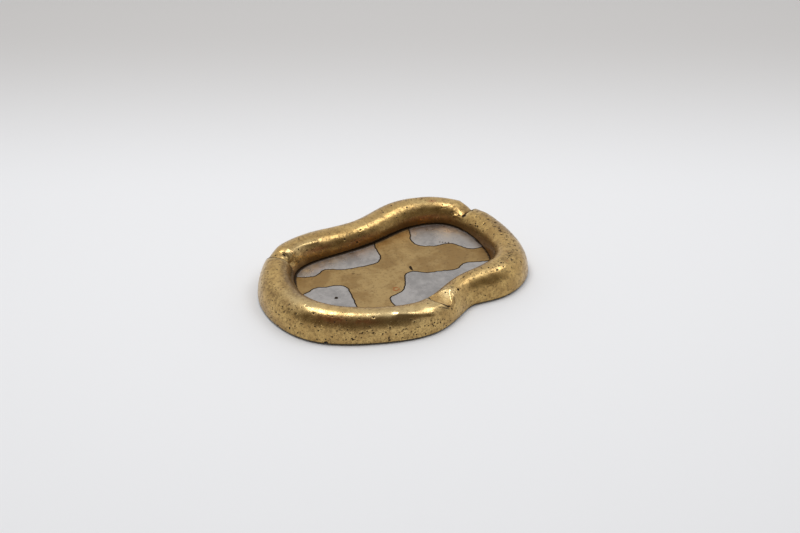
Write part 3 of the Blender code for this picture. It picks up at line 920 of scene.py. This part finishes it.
def small_pits(tree, spacing, largest, crowd):
    """How deep in a small pit each place is, with a share of the cells, crowd, that hold one."""
    cells = put(tree, "ShaderNodeTexVoronoi", {"Vector": own_place(tree), "Scale": 1.0 / spacing},
                feature="F1")
    chance = put(tree, "ShaderNodeSeparateColor", {0: cells.outputs["Color"]}).outputs
    radius = remap(tree, chance[1], 0.0, 1.0, SMALLEST_SHARE * largest / spacing,
                   largest / spacing, "LINEAR")
    out = calculate(tree, "DIVIDE", cells.outputs["Distance"], radius)
    out = frayed(tree, out, texture(tree, 0.6 * spacing, 2.0), 0.5)
    return times(tree, remap(tree, out, 0.50, 0.95, 1.0, 0.0),
                 calculate(tree, "LESS_THAN", chance[0], crowd))


crowd = remap(tree, kept(tree, "porosity"), 0.0, 1.0, 0.05, 0.85, "LINEAR")
crowd = times(tree, crowd, all_but(tree, worn_and_highlit, 0.8))
fine_pits = small_pits(tree, 1.1 * MM, 0.42 * MM, crowd)
pits_between = small_pits(tree, 2.6 * MM, 0.80 * MM, times(tree, crowd, 0.5))
hole = calculate(tree, "MAXIMUM", remap(tree, kept(tree, "pit"), 0.05, 0.5), pits_between)
hole = calculate(tree, "MAXIMUM", hole, times(tree, fine_pits, 0.8))
# Places darkened by dirt, by painted shade or by pits
dirt_shade_and_holes = calculate(tree, "MAXIMUM", dirt_and_shade, hole)
print("rim brass has", len(tree.nodes), "nodes with its holes")


# %% Colour the brass of the rim
def dye(tree, share, under, over):
    """Lay one colour over another by a share."""
    return put(tree, "ShaderNodeMix", {0: share, 6: under, 7: over}, data_type="RGBA").outputs[2]


# Worn brass is partly a painted highlight; brown and near-black are partly painted shade
colour = dye(tree, worn_and_highlit, dye(tree, tone, BRASS_DEEP, BRASS), WORN_BRASS_AND_HIGHLIGHT)
for share, laid_over in ((times(tree, kept(tree, "brown"), 0.40), PATINA_AND_SHADE_COLOUR), (flecks, PATINA_AND_SHADE_COLOUR),
                         (calculate(tree, "MAXIMUM", stain, reddish), COPPER_STAIN),
                         (tarnished, TARNISH), (dirt_shade_and_holes, dye(tree, green, DIRT_AND_SHADE, VERDIGRIS))):
    colour = dye(tree, share, colour, laid_over)
feed(tree, shader, {
    "Base Color": colour,
    "Metallic": remap(tree, dirt_shade_and_holes, 0.0, 1.0, 1.0, 0.25),
    "Specular IOR Level": remap(tree, dirt_shade_and_holes, 0.0, 1.0, 0.5, 0.1),
    "Coat Weight": remap(tree, dirt_shade_and_holes, 0.0, 1.0, 0.10, 0.0),
    "Coat Roughness": 0.22,
})
print("rim brass has", len(tree.nodes), "nodes with its colour")


# %% Polish the brass of the rim
def relief(tree, *layers):
    """Bumps of several heights in metres, summed into one normal."""
    total = 0.0
    for value, height in layers:
        total = plus(tree, total, times(tree, value, height / MM))
    return put(tree, "ShaderNodeBump", {"Height": total, "Distance": MM}).outputs[0]


roughness = remap(tree, texture(tree, 5 * MM, 3.0), 0.3, 0.7, 0.19, 0.31)
for share, more in ((worn_and_highlit, -0.07), (kept(tree, "dull"), 0.12), (flecks, 0.25),
                    (tarnished, 0.12), (dirt_shade_and_holes, 0.35)):
    roughness = plus(tree, roughness, times(tree, share, more))
unpolished = all_but(tree, worn_and_highlit, 0.85)
grain = times(tree, texture(tree, 1.9 * MM, 4.0, rough=0.65), unpolished)
waves = times(tree, texture(tree, 4.6 * MM, 2.0), unpolished)
strokes = texture(tree, 0.8 * MM, 3.0, stretch=(0.12, 1, 1), turn=(0, 0, 0.5))
feed(tree, shader, {
    "Roughness": roughness,
    "Normal": relief(tree, (grain, 0.09 * MM), (waves, 0.07 * MM), (strokes, 0.012 * MM),
                     (fine_pits, -0.16 * MM), (pits_between, -0.3 * MM)),
})
print("rim brass:", len(tree.nodes), "nodes")


# %% Apply the pits to the rim and finish it
def set_inputs(modifier, values):
    """Set a Geometry Nodes modifier's inputs by name, through the sockets' identifiers."""
    for item in modifier.node_group.interface.items_tree:
        if item.in_out == "INPUT" and item.name in values:
            modifier[item.identifier] = values[item.name]


def make_plain(piece):
    """Turn an object's evaluated shape into its plain mesh, and take its modifiers off."""
    whole = piece.evaluated_get(bpy.context.evaluated_depsgraph_get())
    mesh = bpy.data.meshes.new_from_object(whole)
    mesh.name = piece.name
    piece.modifiers.clear()
    piece.data = mesh


rim = add_object("cast_rim", rim_mesh)
pitting = rim.modifiers.new("casting_pits", "NODES")
pitting.node_group = pits
set_inputs(pitting, {"Marked pits": marked, "Material": polished_brass})
make_plain(rim)
bpy.data.objects.remove(marked)
pit_values = np.zeros(len(rim.data.vertices), np.float32)
rim.data.attributes["pit"].data.foreach_get("value", pit_values)
print("points in pits:", int((pit_values > 0.5).sum()), "of", len(pit_values))

# %% [markdown]
# The floor and its aluminium areas
#
# The floor is one brass plate with four shallow pockets, and an aluminium plate lies flush in each.
# Their outlines are the ragged edges of poured metal. All of them are drawn as closed lines in plan
# and triangulated together, so that each plate gets exactly its share of the triangles. Points near
# an edge sink a little, which gives the worn rounding along the joints, and they carry the dirt
# that makes each joint a dark line.

# %% Write down the outlines of the aluminium areas
INLAY_SHARES = {
    "inlay_back_left": (
        (-0.86, 0.88), (-0.75, 0.73), (-0.62, 0.65), (-0.52, 0.71), (-0.45, 0.66), (-0.34, 0.54),
        (-0.20, 0.46), (-0.05, 0.41), (0.03, 0.45), (0.08, 0.57), (0.11, 0.74), (0.16, 0.92),
        (0.19, 1.22), (-0.27, 1.40), (-0.73, 1.35), (-0.95, 1.10)),
    "inlay_back_right": (
        (0.60, 1.00), (0.53, 0.78), (0.48, 0.65), (0.48, 0.50), (0.52, 0.39), (0.65, 0.27),
        (0.75, 0.23), (0.81, 0.08), (0.86, -0.08), (0.98, -0.17), (1.22, -0.17), (1.30, 0.45),
        (1.12, 1.10), (0.80, 1.30)),
    "inlay_front_left": (
        (-1.22, 0.26), (-0.95, 0.34), (-0.85, 0.33), (-0.75, 0.37), (-0.66, 0.30), (-0.58, 0.26),
        (-0.50, 0.13), (-0.51, 0.00), (-0.57, -0.28), (-0.61, -0.48), (-0.70, -0.80),
        (-0.96, -0.95), (-1.25, -0.50)),
    "inlay_front_right": (
        (0.96, -0.61), (0.81, -0.48), (0.66, -0.37), (0.59, -0.42), (0.53, -0.43), (0.38, -0.33),
        (0.26, -0.24), (0.18, -0.11), (0.10, -0.10), (0.05, -0.18), (-0.03, -0.36), (-0.11, -0.46),
        (-0.24, -0.49), (-0.29, -0.57), (-0.31, -0.76), (-0.36, -1.15), (0.13, -1.40),
        (0.80, -1.35), (1.12, -1.05)),
}
print({name: len(shares) for name, shares in INLAY_SHARES.items()})

# %% Draw the outlines
OUTLINE_STEPS = 380
RAGGED_EDGE, RAGGED_SHIFT = ((3.4 * MM, 0.55 * MM), (1.4 * MM, 0.22 * MM)), 3.0


def area_inside(line):
    """The area inside a closed line in plan, negative where the line runs clockwise."""
    x, y = line.T
    return np.sum(x * np.roll(y, -1) - np.roll(x, -1) * y) / 2


def in_space(points):
    """Points in plan, put at height 0."""
    return np.column_stack([points, np.zeros(len(points))])


def inlay_outline(name):
    """The ragged outline of one aluminium area's pocket, and the directions out of it."""
    bowl = (LENGTH / 2 - RIM_WIDTH, WIDTH / 2 - RIM_WIDTH)
    curve, direction = closed_curve(np.array(INLAY_SHARES[name]) * bowl, OUTLINE_STEPS)
    normal = outward(direction) * np.sign(area_inside(curve))
    return curve + normal * unevenness(in_space(curve), RAGGED_EDGE, RAGGED_SHIFT)[:, None], normal


pockets = {name: inlay_outline(name) for name in INLAY_SHARES}
print({name: len(curve) for name, (curve, _) in pockets.items()})

# %% Draw the lines that the plates share
PLATE_GRID = 1.5 * MM
JOINT_WIDTH, ROUNDED_EDGE = 0.35 * MM, 0.45 * MM

floor_line = flat_line(seat, floor_edge_offset(seat), 0)[::2, :2]
inlay_lines = {name: curve - normal * JOINT_WIDTH for name, (curve, normal) in pockets.items()}
loops = [floor_line]
for name, (curve, normal) in pockets.items():
    loops += [curve, inlay_lines[name], curve + normal * ROUNDED_EDGE,
              inlay_lines[name] - normal * ROUNDED_EDGE]
print(sum(map(len, loops)), "points on", len(loops), "lines")


# %% Set free points between the lines, closer at the small marks
HOLE_PLACE, HOLE_RADIUS = np.array([-51.0 * MM, -2.0 * MM]), 1.5 * MM
NOTCH_PLACE, NOTCH_RADIUS, NOTCH_TURN = np.array([14.2 * MM, -1.2 * MM]), 3.6 * MM, np.radians(74.0)
NOTCH_WIDTH_SHARE, NOTCH_BOW, NOTCH_TAPER = 0.30, 0.6 * MM, 0.5
NICK_PLACES = np.array([(52.2, 15.8), (53.6, 14.4), (55.2, 13.0), (57.0, 11.6)]) * MM
NICK_RADIUS = 0.6 * MM
FINE_REACH, FINE_STEPS = 4.2 * MM, 19


def square_grid(line, spacing):
    """The columns and the rows of a grid over the box of a line."""
    lo, hi = line.min(axis=0), line.max(axis=0)
    return np.meshgrid(np.arange(lo[0], hi[0], spacing), np.arange(lo[1], hi[1], spacing))


columns, rows = square_grid(floor_line, PLATE_GRID)
rows = rows + (np.arange(rows.shape[1]) % 2) * PLATE_GRID / 2
spread = np.linspace(-1, 1, FINE_STEPS) * FINE_REACH
fine = [np.stack(np.meshgrid(spread, spread), axis=-1).reshape(-1, 2) + place
        for place in (HOLE_PLACE, NOTCH_PLACE, NICK_PLACES[1:3].mean(axis=0))]
free = np.concatenate([np.column_stack([columns.ravel(), rows.ravel()]), *fine])
print(len(free), "free points")


# %% Keep the free points off the lines
BLOCK = 400


def gap_to(lines, points):
    """The distance from each point to the nearest point of some lines."""
    targets = np.concatenate(lines)
    return np.concatenate([
        np.hypot(*(block[:, None] - targets[None]).transpose(2, 0, 1)).min(axis=1)
        for block in np.array_split(points, max(1, len(points) // BLOCK))])


def within(loop, points):
    """Whether each point is inside a closed line, by how often a ray to the right crosses it."""
    x, y = points.T[:, :, None]
    ax, ay = loop.T[:, None]
    bx, by = np.roll(loop, -1, axis=0).T[:, None]
    level = (ay > y) != (by > y)
    rise = np.where(by == ay, 1.0, by - ay)
    return (level & (x < (bx - ax) * (y - ay) / rise + ax)).sum(axis=1) % 2 == 1


free = free[gap_to(loops, free) > 0.5 * ROUNDED_EDGE]
print(len(free), "free points are left")


# %% Triangulate the floor and the areas together
WHOLE_BOX, INSIDE_LINES = 0, 1
MERGED_WITHIN = 1e-7


def triangulated(loops, free, kind):
    """All points in plan, and triangles between them that keep to the closed lines."""
    points = np.concatenate([*loops, free])
    ends = np.cumsum([len(loop) for loop in loops])
    edges = [(i, i + 1 if i + 1 < end else end - len(loop))
             for loop, end in zip(loops, ends) for i in range(end - len(loop), end)]
    points = [Vector(p) for p in points.tolist()]
    made = delaunay_2d_cdt(points, edges, [], kind, MERGED_WITHIN, False)
    return np.array([tuple(p) for p in made[0]]), np.array(made[2])


flat_points, triangles = triangulated(loops, free, WHOLE_BOX)
centres = flat_points[triangles].mean(axis=1)
in_floor = within(floor_line, centres)
in_pocket = {name: within(curve, centres) & in_floor for name, (curve, _) in pockets.items()}
in_inlay = {name: within(line, centres) & in_floor for name, line in inlay_lines.items()}
print(len(triangles), "triangles,", int(in_floor.sum()), "of them in the floor")


# %% Build a solid plate from triangles at one or two levels
def plate(name, level_of, heights, bottom):
    """A closed solid over the triangles whose level isn't -1, down to a flat bottom.

    A triangle's level says which row of heights its corners take.
    """
    shown = np.flatnonzero(level_of >= 0)
    vertices, faces, index, source = [], [], {}, []

    def corner_at(point, level):
        """The index of a point's vertex at a level, added when it is first asked for."""
        if (point, level) not in index:
            index[point, level] = len(vertices)
            x, y = flat_points[point]
            vertices.append((x, y, bottom if level < 0 else heights[level][point]))
            source.append(-1 if level < 0 else point)
        return index[point, level]

    level_at = {}
    for t in shown:
        a, b, c = triangles[t].tolist()
        for edge_of in ((a, b), (b, c), (c, a)):
            level_at[edge_of] = int(level_of[t])
        faces.append([corner_at(p, int(level_of[t])) for p in (a, b, c)])
        faces.append([corner_at(p, -1) for p in (c, b, a)])
    for (a, b), level in level_at.items():
        other = level_at.get((b, a), -1)
        if level > other:
            faces.append([corner_at(b, level), corner_at(a, level),
                          corner_at(a, other), corner_at(b, other)])
    mesh = bpy.data.meshes.new(name)
    mesh.from_pydata(vertices, [], faces)
    return mesh, np.array(source)


# %% Find how the plates' tops sink
SUNK_EDGE, DENT_DEPTH = 0.14 * MM, 1.2 * MM
BELOW_FLOOR_TOP, BELOW_SEAT = 0.1 * MM, 0.15 * MM
PLATE_SWELLS = ((26.0 * MM, 0.06 * MM), (9.0 * MM, 0.025 * MM))

joint_lines = [curve for curve, _ in pockets.values()] + list(inlay_lines.values())
joint_gap = gap_to(joint_lines, flat_points)
sunk = SUNK_EDGE * (1 - np.clip(joint_gap / ROUNDED_EDGE, 0, 1))**2
hole_out = np.hypot(*(flat_points - HOLE_PLACE).T) / HOLE_RADIUS
lengthwise, widthwise = turned_about(flat_points, NOTCH_PLACE, NOTCH_TURN)
widthwise = widthwise + NOTCH_BOW * (lengthwise / NOTCH_RADIUS)**2
narrow = NOTCH_WIDTH_SHARE * (1 + NOTCH_TAPER * np.clip(lengthwise / NOTCH_RADIUS, -1, 1))
notch_out = np.hypot(lengthwise, widthwise / narrow) / NOTCH_RADIUS
dent = np.maximum(1 - smooth(hole_out), 1 - smooth(notch_out))
tops = FLOOR_TOP - BELOW_FLOOR_TOP + unevenness(in_space(flat_points), PLATE_SWELLS)
tops = np.minimum(tops - sunk - DENT_DEPTH * dent, RIM_SEAT - BELOW_SEAT)
print("tops lie from", round(tops.min() / MM, 2), "to", round(tops.max() / MM, 2), "mm up")

# %% Find where the plates are dirty
JOINT_DIRT = 0.42 * MM
SEAM_DIRT, MORE_AT_BACK, BACK_FROM, BACK_FULL = 1.1 * MM, 1.1 * MM, 15 * MM, 35 * MM
DENT_DIRT_FROM, DENT_DIRT_FADE, NICK_DIRT_FROM = 0.7, 0.5, 0.6

seam_gap = gap_to([worked[-1][:, :2]], flat_points)
at_back = smooth((flat_points[:, 1] - BACK_FROM) / (BACK_FULL - BACK_FROM))
reach = SEAM_DIRT + MORE_AT_BACK * at_back
stuck = 1 - smooth((np.minimum(hole_out, notch_out) - DENT_DIRT_FROM) / DENT_DIRT_FADE)
for nick in NICK_PLACES:
    nick_out = np.hypot(*(flat_points - nick).T) / NICK_RADIUS
    stuck = np.maximum(stuck, 1 - smooth(nick_out - NICK_DIRT_FROM))
in_joint, in_seam = np.exp(-(joint_gap / JOINT_DIRT)**2), np.exp(-(seam_gap / reach)**2)
plate_dirt = np.maximum.reduce([in_joint, in_seam, stuck])
print("dirty points of the plates:", int((plate_dirt > 0.5).sum()))


# %% Make the floor and the four areas
def plate_piece(name, level_of, heights, bottom):
    """A plate as an object, with its dirt stored on its points."""
    mesh, source = plate(name, level_of, heights, bottom)
    store(mesh, "grime", np.where(source < 0, 0.0, plate_dirt[source]))
    return add_object(name, mesh)


levels = np.where(in_floor, 1, -1)
for name in pockets:
    levels[in_pocket[name]] = 0
pocket_floor = np.full(len(flat_points), POCKET_BOTTOM)
plate_pieces = {
    "floor_casting": plate_piece("brass_floor", levels, [pocket_floor, tops], UNDERSIDE)}
for name in pockets:
    plate_pieces[name] = plate_piece(name.replace("inlay", "aluminium"),
                                     np.where(in_inlay[name], 0, -1), [tops],
                                     POCKET_BOTTOM + CLEARANCE)
print({piece.name: len(piece.data.polygons) for piece in plate_pieces.values()})

# %% [markdown]
# The finish of the floor and of the aluminium
#
# The floor was ground flat and has gone dull, with fine scratches from years of wiping, and a
# reddish ring and a brown spot where embers lay. Aluminium is a grey metal with its own film of
# oxide. Both use the same recipe as the rim: clean metal, soft changes of tone, fine strokes in the
# relief, and dirt where the joints keep it.

# %% Finish a plate with dirt and strokes
PLATE_DIRT_ROUGHER = 0.35


def finish_plate(tree, shader, colour, roughness, strokes, grain):
    """Dirt over a plate's colour, and the relief of its strokes and its grain."""
    dirt_and_shade = frayed(tree, kept(tree, "grime"), texture(tree, 1.2 * MM, 3.0), 0.5)
    dirt_and_shade = remap(tree, dirt_and_shade, 0.30, 0.75)
    size, height = grain
    layers = [(texture(tree, size, 4.0, rough=0.65), height)]
    for size, narrow, turn, height in strokes:
        stroke = texture(tree, size, 3.0, stretch=(narrow, 1, 1), turn=(0, 0, turn))
        layers.append((stroke, height))
    feed(tree, shader, {
        "Base Color": dye(tree, dirt_and_shade, colour, DIRT_AND_SHADE),
        "Roughness": plus(tree, times(tree, dirt_and_shade, PLATE_DIRT_ROUGHER), roughness),
        "Metallic": remap(tree, dirt_and_shade, 0.0, 1.0, 1.0, 0.2),
        "Specular IOR Level": remap(tree, dirt_and_shade, 0.0, 1.0, 0.5, 0.1),
        "Normal": relief(tree, *layers),
    })


# %% Mix the brass of the floor
FLOOR_BRASS = (0.450, 0.312, 0.134, 1)
FLOOR_BRASS_WARM = (0.315, 0.200, 0.077, 1)
RING_STAIN = (0.36, 0.13, 0.04, 1)
RING_PLACE, RING_RADIUS = (-10.0 * MM, -17.0 * MM, 6.0 * MM), 1.9 * MM
SPOT_PLACE, SPOT_RADIUS = (-24.0 * MM, 17.0 * MM, 6.0 * MM), 1.5 * MM

ground_brass, tree, shader = surface("ground_brass")
place = own_place(tree)
from_middle = put(tree, "ShaderNodeSeparateXYZ", {0: place}).outputs["X"]
from_middle = calculate(tree, "ABSOLUTE", from_middle)
warm = plus(tree, remap(tree, texture(tree, 16 * MM, 5.0, rough=0.65), 0.40, 0.66),
            remap(tree, from_middle, 22 * MM, 60 * MM, 0.0, 0.6))
flecks = remap(tree, texture(tree, 2.2 * MM, 5.0, rough=0.75), 0.50, 0.70, 0.0, 0.65)
colour = dye(tree, warm, FLOOR_BRASS, FLOOR_BRASS_WARM)
colour = dye(tree, flecks, colour, PATINA_AND_SHADE_COLOUR)
print("ground brass has", len(tree.nodes), "nodes for its tones")

# %% Burn the ring and the spot into it
MARKS_WOBBLE = 1.6 * MM
wobble = texture(tree, 2.2 * MM, 2.0)
from_ring, from_spot = [frayed(tree, gap_between(tree, place, middle), wobble, MARKS_WOBBLE)
                        for middle in (RING_PLACE, SPOT_PLACE)]
off_ring = calculate(tree, "ABSOLUTE", calculate(tree, "SUBTRACT", from_ring, RING_RADIUS))
ring = times(tree, remap(tree, off_ring, 0.3 * MM, 1.2 * MM, 1.0, 0.0),
             remap(tree, texture(tree, 2.6 * MM, 2.0), 0.30, 0.46))
spot = remap(tree, from_spot, 0.6 * MM, SPOT_RADIUS, 0.85, 0.0)
colour = dye(tree, spot, dye(tree, ring, colour, RING_STAIN), PATINA_AND_SHADE_COLOUR)
finish_plate(tree, shader, colour, remap(tree, texture(tree, 5 * MM), 0.3, 0.7, 0.33, 0.42),
             strokes=((0.9 * MM, 0.06, 0.35, 0.014 * MM), (1.1 * MM, 0.08, -0.9, 0.010 * MM)),
             grain=(1.6 * MM, 0.030 * MM))
print("ground brass:", len(tree.nodes), "nodes")

# %% Mix the dull aluminium
ALUMINIUM = (0.44, 0.425, 0.415, 1)
ALUMINIUM_DARK = (0.315, 0.305, 0.30, 1)
ALUMINIUM_FLECK = (0.16, 0.155, 0.15, 1)

dull_aluminium, tree, shader = surface("dull_aluminium")
tone = remap(tree, texture(tree, 13 * MM, 5.0, rough=0.7), 0.38, 0.64)
flecks = remap(tree, texture(tree, 1.6 * MM, 5.0, rough=0.75), 0.58, 0.74, 0.0, 0.7)
colour = dye(tree, tone, ALUMINIUM, ALUMINIUM_DARK)
colour = dye(tree, flecks, colour, ALUMINIUM_FLECK)
finish_plate(tree, shader, colour, remap(tree, texture(tree, 4 * MM), 0.3, 0.7, 0.27, 0.36),
             strokes=((1.0 * MM, 0.05, 0.15, 0.014 * MM), (0.8 * MM, 0.07, 1.1, 0.010 * MM)),
             grain=(1.4 * MM, 0.026 * MM))
print("dull aluminium:", len(tree.nodes), "nodes")

# %% [markdown]
# The felt underneath
#
# A casting this heavy would scratch a table, so such ashtrays stand on a sheet of thin felt, cut by
# hand a little inside the edge. It is a plate like the others, with a cut edge that isn't quite
# even, and its material is matt, with short fibres that show as a fine uneven relief.

# %% Draw the felt's outline
FELT_RAGGED = ((9.0 * MM, 0.5 * MM), (2.5 * MM, 0.15 * MM))
felt_line = flat_line(edge, foot - BASE_EDGE_ROUND - FELT_INSET, 0)
felt_out = np.column_stack(rim_at(edge)[2:4])
felt_line = (felt_line[:, :2] + felt_out * unevenness(felt_line, FELT_RAGGED)[:, None])[::2]

# %% Cut the felt
FELT_GRID, FELT_EDGE_FREE = 3.0 * MM, 0.6 * MM
columns, rows = square_grid(felt_line, FELT_GRID)
free = np.column_stack([columns.ravel(), rows.ravel()])
free = free[within(felt_line, free) & (gap_to([felt_line], free) > FELT_EDGE_FREE)]
flat_points, triangles = triangulated([felt_line], free, INSIDE_LINES)
triangles = triangles[within(felt_line, flat_points[triangles].mean(axis=1))]
felt_top = np.full(len(flat_points), FELT_THICKNESS)
felt_mesh, _ = plate("felt_sheet", np.zeros(len(triangles), int), [felt_top], 0.0)
felt = add_object("felt_sheet", felt_mesh)
print("felt:", len(felt_mesh.polygons), "faces")

# %% Give the felt its nap
FELT_DARK, FELT_FIBRE = (0.010, 0.010, 0.011, 1), (0.040, 0.038, 0.036, 1)
FELT_WORN = (0.06, 0.055, 0.05, 1)
black_felt, tree, shader = surface("black_felt")
fibres = texture(tree, 0.7 * MM, 4.0, rough=0.7)
wear = remap(tree, texture(tree, 12 * MM, 3.0), 0.4, 0.7, 0.0, 0.3)
feed(tree, shader, {
    "Base Color": dye(tree, wear, dye(tree, fibres, FELT_DARK, FELT_FIBRE), FELT_WORN),
    "Roughness": remap(tree, fibres, 0.3, 0.7, 0.88, 0.98),
    "Sheen Weight": 0.25,
    "Normal": relief(tree, (fibres, 0.12 * MM)),
})
print("black felt:", len(tree.nodes), "nodes")

# %% [markdown]
# Hand the pieces to the frame
#
# Every piece stands for one node of the CAD model and rides on its only body, since nothing on an
# ashtray moves.

# %% Attach the pieces
finishes = {"floor_casting": (ground_brass, "floor_brass")}
for name in pockets:
    finishes[name] = (dull_aluminium, "inlay_aluminium")
for name, piece in plate_pieces.items():
    finish, slot = finishes[name]
    piece.data.materials.append(finish)
    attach(piece, "root")
    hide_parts(name)
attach(rim, "root")
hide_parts("rim_casting")
felt.data.materials.append(black_felt)
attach(felt, "root")
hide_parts("base_felt")
print("pieces:", ", ".join(sorted([piece.name for piece in plate_pieces.values()] + [rim.name, felt.name])))

# %% [markdown]
# The light
#
# Metal shows its surroundings, so the light is arranged by what each face of the rim reflects. The
# steep outer faces see the pale table. The band above them sees the room on the camera's side,
# which was dim. The crest sees the soft light overhead, and the floor and the tops see the pale
# wall behind. The world has a dim side and a pale side for this. Two large soft lamps stand for the
# windows: one hangs nearly overhead and makes the long highlight, and a weaker one on the right
# lights the facets of the rests.

# %% Lay the table
TABLE_COLOUR = (0.812, 0.832, 0.866, 1)
# The far table's colour is painted shade for light that falls off at the back
SHADED_FAR_TABLE = (0.60, 0.60, 0.605, 1)
FAR_STARTS, FAR_ENDS = 110.0 * MM, 420.0 * MM
TABLE_HALF = 6.0
table_mesh = bpy.data.meshes.new("table")
corners = [(x * TABLE_HALF, y * TABLE_HALF, 0) for x, y in ((-1, -1), (1, -1), (1, 1), (-1, 1))]
table_mesh.from_pydata(corners, [], [(0, 1, 2, 3)])
table = add_object("table", table_mesh)
paper, tree, shader = surface("pale_paper")
away_back = put(tree, "ShaderNodeVectorMath", {0: own_place(tree), 1: -towards(VIEW_AZIMUTH, 0.0)},
                operation="DOT_PRODUCT").outputs["Value"]
# The table is painted darker away from the camera, as painted shade
far_shade = remap(tree, away_back, FAR_STARTS, FAR_ENDS)
feed(tree, shader, {"Base Color": dye(tree, far_shade, TABLE_COLOUR, SHADED_FAR_TABLE),
                    "Roughness": 0.7, "Specular IOR Level": 0.2})
table_mesh.materials.append(paper)
print("table laid,", 2 * TABLE_HALF, "m wide")

# %% Light the room
PALE_WALLS = (0.82, 0.805, 0.795, 1)
DIM_SIDE = (0.165, 0.138, 0.104, 1)
DIM_FACING_FROM, DIM_FACING_FULL = -0.1, 0.35
DIM_ABOVE_FROM, DIM_ABOVE_FULL = 0.10, 0.22
world = bpy.data.worlds.new("studio")
bpy.context.scene.world = world
world.use_nodes = True
tree = world.node_tree
direction = put(tree, "ShaderNodeTexCoord").outputs["Generated"]
facing = put(tree, "ShaderNodeVectorMath", {0: direction, 1: towards(VIEW_AZIMUTH, 0.0)},
             operation="DOT_PRODUCT").outputs["Value"]
up = put(tree, "ShaderNodeSeparateXYZ", {0: direction}).outputs["Z"]
dim = times(tree, remap(tree, facing, DIM_FACING_FROM, DIM_FACING_FULL),
            remap(tree, up, DIM_ABOVE_FROM, DIM_ABOVE_FULL))
feed(tree, tree.nodes["Background"], {"Color": dye(tree, dim, PALE_WALLS, DIM_SIDE)})
print("room:", len(tree.nodes), "nodes")

# %% Hang two lamps
LAMPS = {
    # azimuth and elevation in degrees, distance and size in metres, watts
    "soft_overhead": (-145.0, 76.0, 1.1, 0.50, 4.6),
    "soft_right": (70.0, 58.0, 1.2, 0.50, 2.4),
}
for name, (azimuth, elevation, distance, size, watts) in LAMPS.items():
    lamp = add_object(name, bpy.data.lights.new(name, "AREA"))
    lamp.data.shape, lamp.data.size, lamp.data.energy = "SQUARE", size, watts
    place_facing(lamp, Vector((0.0, 0.0, 0.0)), towards(azimuth, elevation), distance)
    print(name, "at", [round(x, 2) for x in lamp.location])
bpy.context.scene.view_settings.view_transform = "Standard"
